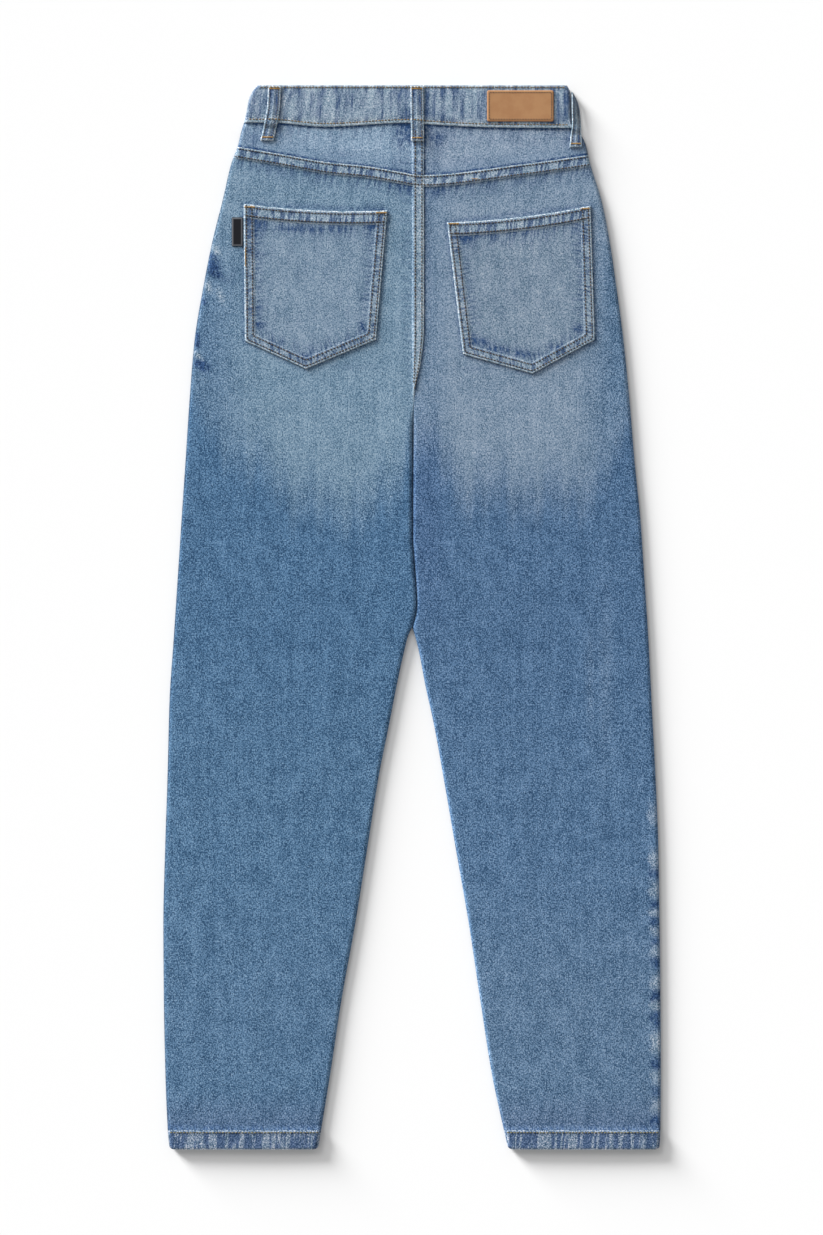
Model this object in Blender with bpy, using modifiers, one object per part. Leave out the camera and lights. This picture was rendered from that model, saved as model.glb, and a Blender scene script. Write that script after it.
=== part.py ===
# Mom jeans laid flat with the back side up, cut, lapped and stacked the way the real pair is sewn.
# Metres, +Z up. +X is the right of the view from above and +Y runs towards the waist.
# The origin lies under the middle of the garment, on the surface that it rests on.
# Seen from behind, the wearer's left is on -X.

import bpy
import bmesh
from math import cos, exp, radians, sin, sqrt
from mathutils import Vector

# Driving sizes, in millimetres
LENGTH = 1022.0            # waist edge to hem
DENIM = 1.2                # one layer of cloth
SEAM_GAP = 0.3             # clearance between two pieces
HALF_GAP = SEAM_GAP / 2
ROLL = 3.5                 # width over which a side turns down to its seam
FELL = 10.6                # width of a lapped and double-stitched seam
FELL_RISE = 1.0            # how far such a seam stands up
HEM = 17.0                 # depth of the turned-up hem
HEM_CLOTH = 2.3            # its folded layers
HEM_RISE = 0.8
BAND_CLOTH = 2.2           # waistband, two layers and its stiffener
AIR = 0.7                  # air between back and front beside the seams
PUFF = 2.2                 # more air in the middle of a leg or of the seat
WAIST_PUFF = 0.55          # share of that beside the waistband
CROWN_POWER = 2.5          # how flat the puff is on top
LEGS_PART = (400.0, 560.0) # below the waist edge, where one wide tube becomes two
BAND_AIR = 1.2
BAND_PUFF = 0.9
CROTCH = 521.3             # below the waist edge
ROLL_START = 296.6         # where the seat seam turns under the left leg
ROLL_FULL = 335.0
LAP_LIFT = 1.4             # the left leg lies a little over the right one at the seat
LAP_WIDTH = 18.0
POCKET_CLOTH = 1.2
POCKET_HEM = 11.5
POCKET_EDGE = 9.0
LOOP_CLOTH = 1.6
LOOP_WIDTH = 12.5
LOOP_RIDGE = 0.4
PATCH = (72.0, 136.0, 5.0, 35.0)      # left, right, upper and lower edge
PATCH_CLOTH = 1.3
TAB = (-173.3, -162.5, 126.7, 154.6)
TAB_CLOTH = 0.7
RECESS = 1.5               # a flat garment presses its front loops and button into the waistband
RECESS_CLOTH = 1.4
FRONT_LOOP_AT = 72.0
BUTTON_AT = (-12.0, 19.0)  # across, and below the waist edge
BUTTON_RADIUS = 8.5
BUTTON_HEIGHT = 1.2
FLY_WIDTH = 36.0
FLY_END = 190.0            # lower end of the J, below the waist edge
FLY_TURN = 38.0            # height over which it turns in
FLY_STEPS = (0.6, 2.5, 9.0, 20.0, FLY_TURN)
SCOOP_IN = 92.0            # front pocket mouth, from the centre
SCOOP_OUT = 165.0
SCOOP_DOWN = 78.0
SCOOP_ARC = 0.9            # share of a quarter round that the mouth takes
FRONT_MIDDLE = 8           # columns of a front leg between its edge columns
FACING_COLUMNS = 5         # columns from the side to the inner end of the pocket facing

# Outer edges as laid: below the waist edge, left edge, right edge
OUTLINE = [
    (0.0, -148.8, 149.2),
    (5.8, -153.6, 151.9),
    (14.4, -157.4, 152.6),
    (25.9, -159.4, 152.9),
    (35.5, -161.8, 154.0),
    (43.2, -164.2, 159.0),
    (50.9, -166.1, 164.8),
    (58.6, -168.0, 167.8),
    (73.9, -173.8, 171.2),
    (110.4, -182.4, 182.4),
    (148.8, -192.0, 190.1),
    (187.2, -199.7, 195.8),
    (244.8, -209.3, 203.5),
    (302.4, -214.1, 209.3),
    (360.0, -217.9, 214.1),
    (417.6, -221.8, 219.8),
    (475.2, -225.6, 223.7),
    (532.8, -229.4, 227.5),
    (590.4, -233.3, 230.4),
    (662.4, -235.2, 234.2),
    (734.4, -237.6, 237.1),
    (806.4, -239.3, 238.2),
    (878.4, -238.8, 239.0),
    (950.4, -237.3, 239.3),
    (1001.0, -235.2, 239.0),
    (1022.0, -233.2, 237.9),
]

# Inner edges of the legs below the crotch: below the waist edge, left leg, right leg
INSEAM = [
    (521.3, -0.3, 0.3),
    (529.0, -3.8, 2.9),
    (544.3, -7.7, 6.7),
    (575.0, -14.4, 12.5),
    (614.4, -22.1, 21.1),
    (662.4, -31.7, 29.8),
    (734.4, -43.2, 42.2),
    (806.4, -54.7, 54.7),
    (878.4, -67.7, 65.5),
    (950.4, -78.7, 76.8),
    (1001.0, -86.9, 87.6),
    (1022.0, -90.4, 92.4),
]

# Seat seam, where the left back laps over the right one: below the waist edge, across
SEAT_SEAM = [
    (0.0, 11.5),
    (234.2, 11.5),
    (264.0, 8.6),
    (296.6, 2.2),
    (335.0, 0.6),
    (431.0, 0.2),
    (464.6, 2.4),
    (499.2, 4.4),
    (521.3, 0.0),
]

# Lower edge of the waistband: across, below the waist edge
BAND_SEAM = [
    (-170.0, 35.4),
    (-135.0, 35.6),
    (-83.5, 39.6),
    (-3.0, 35.8),
    (12.5, 37.0),
    (78.7, 40.2),
    (170.0, 41.0),
]

# Yoke seam: across, below the waist edge
YOKE_SEAM = [
    (-180.0, 56.5),
    (-122.9, 66.2),
    (-81.6, 73.4),
    (-43.2, 77.4),
    (-12.5, 82.6),
    (9.0, 85.9),
    (103.7, 75.8),
    (180.0, 65.0),
]

# Corners of the back pockets: across, below the waist edge, in the order
# top left, top right, bottom right, tip, bottom left
LEFT_POCKET = [(-161.7, 113.8), (-23.6, 120.2), (-34.6, 244.2), (-102.0, 272.4), (-160.5, 245.5)]
RIGHT_POCKET = [(33.6, 131.7), (171.6, 115.6), (175.6, 244.2), (115.8, 277.0), (49.0, 258.2)]
POCKET_SAG = 3.2           # of the mouth, in its middle

# Belt loops: below the waist edge, left edge, right edge, drop of the right edge
LEFT_LOOP = [
    (1.0, -138.2, -125.7, 0.0),
    (20.0, -139.2, -126.7, 0.0),
    (33.0, -141.2, -128.6, 0.0),
    (44.0, -143.6, -131.0, 0.0),
    (53.0, -145.9, -132.8, 0.0),
]
CENTRE_LOOP = [
    (1.0, -1.6, 10.9, 0.0),
    (20.0, -1.4, 11.1, 0.0),
    (34.0, -1.2, 11.3, 0.0),
    (44.0, -1.0, 11.5, 0.0),
    (53.8, -1.0, 11.6, 0.0),
]
# The right loop hangs over the side and bows out from it
RIGHT_LOOP = [
    (6.7, 153.1, 153.6, 4.6),
    (14.4, 153.3, 158.3, 4.9),
    (24.0, 153.4, 160.9, 4.9),
    (34.0, 153.6, 161.8, 4.5),
    (41.0, 153.4, 162.2, 2.2),
    (46.0, 152.6, 162.6, 0.9),
    (53.0, 151.8, 163.2, 0.2),
    (59.5, 151.2, 163.4, 0.0),
]

# Rows of the legs that run straight across, below the waist edge
LEG_ROWS = [980, 935, 885, 835, 785, 735, 690, 650, 615, 580, 550, 529, 510, 475, 431, 385, 335,
            315, 296.6, 280, 264, 234.2, 190, 150]

# Finishes: colour, roughness, metallic
FINISHES = {
    "faded denim": ((0.20, 0.28, 0.37), 0.85, 0.0),
    "denim": ((0.09, 0.17, 0.29), 0.85, 0.0),
    "waistband denim": ((0.19, 0.27, 0.36), 0.85, 0.0),
    "leather": ((0.49, 0.27, 0.13), 0.55, 0.0),
    "woven tape": ((0.02, 0.02, 0.025), 0.7, 0.0),
    "brass": ((0.55, 0.40, 0.18), 0.35, 1.0),
}


def clear_scene():
    for old in list(bpy.data.objects):
        bpy.data.objects.remove(old, do_unlink=True)


def new_collection(name):
    group = bpy.data.collections.new(name)
    bpy.context.scene.collection.children.link(group)
    return group


def finish_material(name, finish):
    """A material of the piece's own, in one of the finishes."""
    colour, roughness, metallic = FINISHES[finish]
    material = bpy.data.materials.new(name)
    material.use_nodes = True
    shader = material.node_tree.nodes["Principled BSDF"]
    shader.inputs["Base Color"].default_value = (*colour, 1.0)
    shader.inputs["Roughness"].default_value = roughness
    shader.inputs["Metallic"].default_value = metallic
    material.diffuse_color = (*colour, 1.0)
    return material


# Curves through the tables

def slope(table, column, k):
    """Tangent at row k, held back at turning points so that the curve doesn't overshoot."""
    if k == 0 or k == len(table) - 1:
        other = 1 if k == 0 else k - 1
        return (table[other][column] - table[k][column]) / (table[other][0] - table[k][0])
    before = (table[k][column] - table[k - 1][column]) / (table[k][0] - table[k - 1][0])
    after = (table[k + 1][column] - table[k][column]) / (table[k + 1][0] - table[k][0])
    if before * after <= 0:
        return 0.0
    return 2 * before * after / (before + after)


def follow(table, at, column=1):
    """Smooth value of a table's column where its first column equals at."""
    if at <= table[0][0]:
        return table[0][column]
    if at >= table[-1][0]:
        return table[-1][column]
    k = 0
    while table[k + 1][0] < at:
        k += 1
    span = table[k + 1][0] - table[k][0]
    t = (at - table[k][0]) / span
    start, end = table[k][column], table[k + 1][column]
    lean_in = slope(table, column, k) * span
    lean_out = slope(table, column, k + 1) * span
    return ((2 * t**3 - 3 * t**2 + 1) * start + (t**3 - 2 * t**2 + t) * lean_in
            + (3 * t**2 - 2 * t**3) * end + (t**3 - t**2) * lean_out)


def mix(a, b, t):
    return a + (b - a) * t


def ease(a, b, at):
    """0 before a, 1 after b, smooth between."""
    t = min(1.0, max(0.0, (at - a) / (b - a)))
    return t * t * (3 - 2 * t)


def left_side(down):
    return follow(OUTLINE, down, 1)


def right_side(down):
    return follow(OUTLINE, down, 2)


def left_inner(down):
    """Right edge of the left back: seat seam, then inseam."""
    if down < CROTCH:
        return follow(SEAT_SEAM, down)
    return follow(INSEAM, down, 1)


def right_inner(down):
    if down < CROTCH:
        return follow(SEAT_SEAM, down) + SEAM_GAP
    return follow(INSEAM, down, 2)


def left_front_inner(down):
    return -HALF_GAP if down < CROTCH else follow(INSEAM, down, 1)


def right_front_inner(down):
    return HALF_GAP if down < CROTCH else follow(INSEAM, down, 2)


def seat_roll(down):
    """0 where the back's inner edge is a lapped seam, 1 where the leg turns under."""
    return ease(ROLL_START, ROLL_FULL, down)


def front_roll(down):
    return ease(CROTCH - 4, CROTCH + 9, down)


# Heights of the laid cloth

def crown(low, high, across):
    """0 at both sides of a flattened tube, 1 over its middle."""
    if not low < across < high:
        return 0.0
    return 1 - abs(2 * (across - low) / (high - low) - 1) ** CROWN_POWER


def fullness(across, down):
    """Share of the puff at a place: 0 beside a side seam, 1 well inside."""
    low, high = left_side(down), right_side(down)
    hip = crown(low, high, across)
    inner = follow(INSEAM, max(down, CROTCH), 1 if across < 0 else 2)
    if across < 0:
        high = inner
    else:
        low = inner
    leg = crown(low, high, across)
    near_band = mix(WAIST_PUFF, 1.0, ease(40, 130, down))
    return mix(hip, leg, ease(*LEGS_PART, down)) * near_band


def lap_lift(across, down):
    """The left leg rides up where it lies over the right one."""
    if across > left_inner(down) + HALF_GAP or down > CROTCH + 60:
        return 0.0
    away = (left_inner(down) - across) / LAP_WIDTH
    along = seat_roll(down) * (1 - ease(CROTCH - 40, CROTCH + 50, down))
    return LAP_LIFT * exp(-away * away) * along


def back_top(across, down, cloth=DENIM):
    """Upper face of the back's cloth, without its raised seams."""
    return 2 * cloth + AIR + PUFF * fullness(across, down) + lap_lift(across, down)


def band_top(across, down):
    """Upper face of the waistband; the front loops press it up by their recess."""
    full = crown(left_side(down), right_side(down), across)
    return 2 * BAND_CLOTH + BAND_AIR + BAND_PUFF * full


def place(across, down, height):
    """Millimetres in the garment's own terms to metres in the world."""
    return Vector((across, LENGTH / 2 - down, height)) * 0.001


# Walls of cloth

def wall(name, columns, rows, point, finish, group):
    """A closed wall of cloth from two grids through the same sections, bridged round their rims.

    point(i, j) gives the outer and the inner place at column i and row j."""
    mesh = bpy.data.meshes.new(name)
    bm = bmesh.new()
    for skin in (0, 1):
        made = bmesh.ops.create_grid(bm, x_segments=columns - 1, y_segments=rows - 1, size=1.0)
        for vert in made["verts"]:
            i = round((vert.co.x + 1) / 2 * (columns - 1))
            j = round((vert.co.y + 1) / 2 * (rows - 1))
            vert.co = point(i, j)[skin]
    rims = [edge for edge in bm.edges if edge.is_boundary]
    bmesh.ops.bridge_loops(bm, edges=rims)
    bmesh.ops.recalc_face_normals(bm, faces=bm.faces)
    bm.to_mesh(mesh)
    bm.free()
    piece = bpy.data.objects.new(name, mesh)
    mesh.materials.append(finish_material(name, finish))
    mesh.shade_smooth()
    mesh.set_sharp_from_angle(angle=radians(40))
    group.objects.link(piece)
    return piece


# A column beside an edge: distance and rise where the edge is a seam,
# distance and turn (degrees) where it rolls down to its seam
ROLLED = [(0.0, 0.0, 0.0, 0), (0.5, 0.0, 0.45, 30), (1.8, 0.0, 1.6, 58), (4.0, 0.0, ROLL, 90)]
PLAIN = [(0.0, 0.0, 0.0, 0), (0.5, 0.0, 0.45, 30), (5.5, 0.0, 1.6, 58), (11.0, 0.0, ROLL, 90)]
FELLED = [(0.0, 0.5, 0.0, 0), (0.6, FELL_RISE, 0.45, 30), (FELL - 0.5, FELL_RISE, 1.6, 58),
          (FELL + 0.7, 0.0, ROLL, 90)]


def across_panel(left, right, down, column, middle):
    """Place across a panel at one row, with the edge column's rise, turn and roll."""
    left_edge, left_rows, left_roll = left
    right_edge, right_rows, right_roll = right
    low, high = left_edge(down), right_edge(down)
    roll_low, roll_high = left_roll(down), right_roll(down)
    if column < len(left_rows):
        gap, rise, roll_gap, turn = left_rows[column]
        reach = mix(gap, roll_gap, roll_low)
        return low + reach, low, 1, reach, rise * (1 - roll_low), mix(90, turn, roll_low), roll_low
    if column >= len(left_rows) + middle:
        gap, rise, roll_gap, turn = right_rows[len(left_rows) + middle + len(right_rows) - 1 - column]
        reach = mix(gap, roll_gap, roll_high)
        return high - reach, high, -1, reach, rise * (1 - roll_high), mix(90, turn, roll_high), roll_high
    start = low + mix(left_rows[-1][0], left_rows[-1][2], roll_low)
    end = high - mix(right_rows[-1][0], right_rows[-1][2], roll_high)
    share = (column - len(left_rows) + 1) / (middle + 1)
    return mix(start, end, share), low, 1, ROLL, 0.0, 90, 0.0


def panel(name, left, right, middle, rows, is_back, finish, group, keep=None):
    """A leg, yoke or other flat-laid panel.

    left and right are (edge function, edge columns, roll function). A row is
    (place below the waist as a function of the place across, rise, cloth).
    keep gives the first and last column of a piece that is only part of that width."""
    columns = len(left[1]) + middle + len(right[1])
    first, last = keep or (0, columns - 1)

    def point(i, j):
        below, row_rise, cloth = rows[j]
        across = 0.0
        for _ in range(24):
            down = below(across)
            found = across_panel(left, right, down, first + i, middle)
            across = found[0]
        across, edge, inward, reach, rise, turn, roll = found
        rise = max(rise, row_rise)
        inner_reach = mix(reach, cloth + (ROLL - cloth) / ROLL * reach, roll) if reach < ROLL else reach
        inner_across = edge + inward * inner_reach if roll > 0 and reach < ROLL else across
        middle_height = cloth + AIR / 2
        bend = sin(radians(turn))
        if is_back:
            seam = middle_height + HALF_GAP
            upper = back_top(across, down, cloth)
            outer = mix(seam, upper, bend) + rise * bend
            inner = mix(seam, upper - cloth, bend)
        else:
            seam = middle_height - HALF_GAP
            outer = mix(seam, 0.0, bend)
            inner = mix(seam, cloth, bend)
        return place(across, down, outer), place(inner_across, down, inner)

    return wall(name, last - first + 1, len(rows), point, finish, group)


def straight(down):
    return lambda across: down


def below(curve, extra):
    """A row that keeps a distance below a curve given across the garment."""
    return lambda across: curve(across) + extra


def between(curve_a, curve_b, share):
    return lambda across: mix(curve_a(across), curve_b(across), share)


def band_seam(across):
    return follow(BAND_SEAM, across)


def yoke_seam(across):
    return follow(YOKE_SEAM, across)


def hem_rows():
    """Rows of the turned-up hem, from its folded edge to just above its stitching."""
    return [(straight(LENGTH), -0.5, HEM_CLOTH), (straight(LENGTH - 0.8), HEM_RISE, HEM_CLOTH),
            (straight(LENGTH - HEM / 2), HEM_RISE, HEM_CLOTH),
            (straight(LENGTH - HEM), HEM_RISE, HEM_CLOTH), (straight(LENGTH - HEM - 1.5), 0.0, DENIM)]


def back_leg(name, left, right, finish, group):
    rows = hem_rows()
    rows += [(straight(down), 0.0, DENIM) for down in LEG_ROWS]
    rows += [(between(straight(150), yoke_seam, share), 0.0, DENIM) for share in (0.35, 0.6)]
    rows += [(below(yoke_seam, FELL + 1.0), 0.0, DENIM), (below(yoke_seam, FELL), FELL_RISE, DENIM),
             (below(yoke_seam, SEAM_GAP + 0.6), FELL_RISE, DENIM), (below(yoke_seam, SEAM_GAP), 0.5, DENIM)]
    return panel(name, left, right, 9, rows, True, finish, group)


def yoke(name, left, right, finish, group):
    def upper(across):
        return band_seam(across) + SEAM_GAP
    rows = [(between(yoke_seam, upper, share), 0.0, DENIM) for share in (0.0, 0.25, 0.5, 0.75, 1.0)]
    return panel(name, left, right, 9, rows, True, finish, group)


def never(down):
    return 0.0


def always(down):
    return 1.0


def build_backs(group):
    left_outer = (left_side, ROLLED, always)
    right_outer = (right_side, ROLLED, always)
    left_lap = (left_inner, FELLED, seat_roll)
    right_under = (right_inner, PLAIN, seat_roll)
    back_leg("back_leg_left", left_outer, left_lap, "denim", group)
    back_leg("back_leg_right", right_under, right_outer, "denim", group)
    yoke("back_yoke_left", left_outer, left_lap, "faded denim", group)
    yoke("back_yoke_right", right_under, right_outer, "faded denim", group)


# Front, hidden under the back and flat on the surface

def scoop(across):
    """Pocket mouth of the front: an arc from the waistband down to the side."""
    side = abs(across)
    share = min(1.0, max(0.0, (side - SCOOP_IN) / (SCOOP_OUT - SCOOP_IN)))
    fall = (1 - sqrt(1 - SCOOP_ARC * share * share)) / (1 - sqrt(1 - SCOOP_ARC))
    return band_seam(across) + SEAM_GAP + SCOOP_DOWN * fall


def fly_edge(down):
    """Outer edge of the J-shaped fly, measured from the centre front."""
    turn = min(1.0, max(0.0, (down - FLY_END + FLY_TURN) / FLY_TURN))
    return FLY_WIDTH * sqrt(1 - turn * turn)


def front_rows():
    rows = hem_rows()
    rows += [(straight(down), 0.0, DENIM) for down in LEG_ROWS if down > 340]
    rows += [(straight(down), 0.0, DENIM) for down in (300, 240, FLY_END + 0.5)]
    rows += [(straight(FLY_END - up), 0.0, DENIM) for up in FLY_STEPS]
    rows += [(between(straight(FLY_END - FLY_TURN), scoop, share), 0.0, DENIM)
             for share in (0.35, 0.7, 1.0)]
    return rows


def build_fronts(group):
    def left_fly_side(down):
        inner = left_front_inner(down)
        return min(inner, -fly_edge(down) - SEAM_GAP) if down < FLY_END else inner

    left_pair = (left_side, ROLLED, always), (left_fly_side, PLAIN, front_roll)
    right_pair = (right_front_inner, PLAIN, front_roll), (right_side, ROLLED, always)
    panel("front_leg_left", *left_pair, FRONT_MIDDLE, front_rows(), False, "denim", group)
    panel("front_leg_right", *right_pair, FRONT_MIDDLE, front_rows(), False, "denim", group)

    edges = [(0.0, 0.0, 0.0, 0), (2.0, 0.0, 2.0, 90)]
    fly_rows = [(straight(FLY_END - up), 0.0, DENIM) for up in FLY_STEPS]
    fly_rows += [(straight(110), 0.0, DENIM), (straight(70), 0.0, DENIM),
                 (below(band_seam, SEAM_GAP), 0.0, DENIM)]
    panel("fly", (lambda down: -fly_edge(down), edges, never), (lambda down: -HALF_GAP, edges, never), 2,
          fly_rows, False, "denim", group)

    def mouth(across):
        return scoop(across) - SEAM_GAP

    facing_rows = [(between(mouth, below(band_seam, SEAM_GAP), share), 0.0, DENIM)
                   for share in (0.0, 0.3, 0.65, 1.0)]
    ends = len(ROLLED) + FRONT_MIDDLE + len(PLAIN) - 1
    panel("front_pocket_left", *left_pair, FRONT_MIDDLE, facing_rows, False, "denim", group,
          keep=(0, FACING_COLUMNS + 1))
    panel("front_pocket_right", *right_pair, FRONT_MIDDLE, facing_rows, False, "denim", group,
          keep=(ends - FACING_COLUMNS, ends))


# Waistband

def band_stations():
    """Stations round the band, from the centre front over the left side and back to it:
    (layer, place across or share, turn). Front places are real, back ones are shares."""
    loop = LOOP_WIDTH / 2 + 0.4
    front = [HALF_GAP, 24.0, 45.0, FRONT_LOOP_AT - loop - 1.0, FRONT_LOOP_AT - loop,
             FRONT_LOOP_AT + loop, FRONT_LOOP_AT + loop + 1.0, 105.0, 130.0]
    stations = [("front", -across, 90) for across in front]
    stations += [("left", 0.0, turn) for turn in (-90, -50, -20, 0, 20, 50, 90)]
    stations += [("back", share / 14, 90) for share in range(1, 14)]
    stations += [("right", 0.0, turn) for turn in (90, 50, 20, 0, -20, -50, -90)]
    stations += [("front", across, 90) for across in reversed(front)]
    return stations


BAND_ROWS = [(0.0, 0.0), (0.03, 0.35), (0.5, 0.35), (0.96, 0.35), (1.0, 0.0)]   # share of height, fullness


def waistband(finish, group):
    stations = band_stations()
    loop = LOOP_WIDTH / 2 + 0.4

    def point(i, j):
        layer, at, turn = stations[i]
        share, full = BAND_ROWS[j]
        soften = 0.35 - full
        across = 0.0
        for _ in range(24):
            down = mix(band_seam(across), 0.0, share)
            low, high = left_side(down), right_side(down)
            if layer == "front":
                across = at
            elif layer == "left":
                across = low + ROLL * (1 - cos(radians(turn)))
            elif layer == "right":
                across = high - ROLL * (1 - cos(radians(turn)))
            else:
                across = mix(low + ROLL, high - ROLL, at)
        cloth = BAND_CLOTH
        if layer == "front":
            pressed = abs(abs(across) - FRONT_LOOP_AT) < loop + 0.1
            outer = RECESS if pressed else 0.0
            inner = RECESS + RECESS_CLOTH if pressed else cloth
            return place(across, down, outer), place(across, down, inner)
        upper = band_top(across, down)
        if layer == "back":
            return place(across, down, upper - soften), place(across, down, upper - cloth)
        edge = low if layer == "left" else high
        inward = 1 if layer == "left" else -1
        middle = upper / 2
        lift = sin(radians(turn))
        inner_across = edge + inward * (cloth + (ROLL - cloth) * (1 - cos(radians(turn))))
        top_soften = soften if turn > 0 else 0.0
        outer_height = middle + (middle - top_soften) * lift
        return (place(across, down, outer_height),
                place(inner_across, down, middle + (middle - cloth) * lift))

    return wall("waistband", len(stations), len(BAND_ROWS), point, finish, group)


def cut_button_seat(band, guides):
    """A round recess in the band, where the button's head is pressed in."""
    across, down = BUTTON_AT
    bm = bmesh.new()
    bmesh.ops.create_cone(bm, cap_ends=True, segments=32, radius1=(BUTTON_RADIUS + SEAM_GAP) * 0.001,
                          radius2=(BUTTON_RADIUS + SEAM_GAP) * 0.001, depth=2 * RECESS * 0.001)
    mesh = bpy.data.meshes.new("button_seat_cutter")
    bm.to_mesh(mesh)
    bm.free()
    cutter = bpy.data.objects.new("button_seat_cutter", mesh)
    cutter.location = place(across, down, 0.0)
    cutter.hide_render = True
    cutter.display_type = "WIRE"
    guides.objects.link(cutter)
    cut = band.modifiers.new("button_seat", "BOOLEAN")
    cut.operation = "DIFFERENCE"
    cut.object = cutter
    cut.solver = "EXACT"


def button(finish, group):
    """Shank button, its head flush with the surface."""
    across, down = BUTTON_AT
    bpy.ops.mesh.primitive_cylinder_add(vertices=32, radius=BUTTON_RADIUS * 0.001,
                                        depth=BUTTON_HEIGHT * 0.001)
    piece = bpy.context.active_object
    piece.name = "button"
    piece.data.name = "button"
    piece.location = place(across, down, BUTTON_HEIGHT / 2)
    rim = piece.modifiers.new("rim", "BEVEL")
    rim.width = 0.0003
    rim.segments = 2
    rim.limit_method = "ANGLE"
    piece.data.materials.append(finish_material("button", finish))
    for other in list(piece.users_collection):
        other.objects.unlink(piece)
    group.objects.link(piece)


# Pieces sewn on top

def pocket(name, corners, finish, group):
    """Patch pocket: made from the leg's points, moved out, with a hemmed mouth and turned edges."""
    top_left, top_right, bottom_right, tip, bottom_left = [Vector(corner) for corner in corners]
    tip_share = (tip.x - bottom_left.x) / (bottom_right.x - bottom_left.x)
    shares = [0.0, 0.005, 0.065, 0.075, 0.2, 0.33, tip_share, 0.66, 0.8, 0.925, 0.935, 0.995, 1.0]
    edge_rise = [-0.4, 0.35, 0.35, 0, 0, 0, 0, 0, 0, 0, 0.35, 0.35, -0.4]
    rows = [("top", 0.0, -0.4), ("top", 0.6, 0.7), ("top", POCKET_HEM, 0.7), ("top", POCKET_HEM + 1, 0.0),
            ("share", 0.35, 0.0), ("share", 0.6, 0.0), ("share", 0.8, 0.0),
            ("low", POCKET_EDGE + 1, 0.0), ("low", POCKET_EDGE, 0.35), ("low", 0.6, 0.35), ("low", 0.0, -0.4)]

    def point(i, j):
        share = shares[i]
        upper = top_left.lerp(top_right, share)
        upper.y += POCKET_SAG * 4 * share * (1 - share)
        if share <= tip_share:
            lower = bottom_left.lerp(tip, share / tip_share)
        else:
            lower = tip.lerp(bottom_right, (share - tip_share) / (1 - tip_share))
        kind, value, rise = rows[j]
        length = (lower - upper).length
        along = {"top": value / length, "share": value, "low": 1 - value / length}[kind]
        across, down = upper.lerp(lower, along)
        rise = min(rise, edge_rise[i]) if min(rise, edge_rise[i]) < 0 else max(rise, edge_rise[i])
        under = back_top(across, down) + SEAM_GAP
        return place(across, down, under + POCKET_CLOTH + rise), place(across, down, under)

    return wall(name, len(shares), len(rows), point, finish, group)


def rest_height(across, down):
    """Where a loop lies: on the waistband, then easing down to the yoke's raised seam or plain cloth."""
    low, high = left_side(down) + ROLL, right_side(down) - ROLL
    across = min(high, max(low, across))
    on_band = band_top(across, min(down, band_seam(across)))
    near_seat = abs(across - 5.0) < 14.0
    on_yoke = back_top(across, down) + (FELL_RISE if near_seat else 0.0)
    fall = ease(band_seam(across) + 0.5, band_seam(across) + 6.0, down)
    return mix(on_band, on_yoke, fall) + SEAM_GAP


def loop_rows(table):
    """More rows between the table's, so that the loop bends smoothly over the band's edge."""
    first, last = table[0][0], table[-1][0]
    downs = [first, first + 0.8]
    downs += [mix(first, last, share / 11) for share in range(1, 11)]
    downs += [last - 0.8, last]
    return downs


def belt_loop(name, table, finish, group):
    downs = loop_rows(table)
    shares = [0.0, 0.06, 0.3, 0.5, 0.7, 0.94, 1.0]
    rises = [-0.5, 0.0, 0.0, LOOP_RIDGE, 0.0, 0.0, -0.5]

    def point(i, j):
        down = downs[j]
        low, high = follow(table, down, 1), follow(table, down, 2)
        drop = follow(table, down, 3)
        height = max(rest_height(mix(low, high, step / 4), down) for step in range(5)) if drop < 1e-6 \
            else rest_height(low, down)
        start, end = Vector((low, height)), Vector((high, height - drop))
        out = Vector((start.y - end.y, end.x - start.x)).normalized()
        rise = rises[i] - (0.5 if j in (0, len(downs) - 1) else 0.0)
        under = start.lerp(end, shares[i])
        over = under + out * (LOOP_CLOTH + max(rise, -0.6))
        return place(over.x, down, over.y), place(under.x, down, under.y)

    return wall(name, len(shares), len(downs), point, finish, group)


def front_loop(name, across, finish, group):
    """A loop pressed into the front of the waistband, flush with the surface."""
    half = LOOP_WIDTH / 2
    downs = [2.0, 2.6, 18.0, 33.4, 34.0]

    def point(i, j):
        side = across + half * (-1.0, -0.93, 0.93, 1.0)[i]
        lift = 0.3 if i in (0, 3) or j in (0, 4) else 0.0
        return place(side, downs[j], lift), place(side, downs[j], RECESS - SEAM_GAP)

    return wall(name, 4, len(downs), point, finish, group)


def flat_piece(name, box, cloth, under, steps, finish, group):
    """A thin rectangular piece with softened rims, lying on under(across, down)."""
    left, right, upper, lower = box
    shares = [0.0, 0.02] + [step / steps for step in range(1, steps)] + [0.98, 1.0]

    def point(i, j):
        across, down = mix(left, right, shares[i]), mix(upper, lower, shares[j])
        base = under(across, down) + SEAM_GAP
        rim = i in (0, len(shares) - 1) or j in (0, len(shares) - 1)
        return place(across, down, base + cloth * (0.6 if rim else 1.0)), place(across, down, base)

    return wall(name, len(shares), len(shares), point, finish, group)


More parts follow.
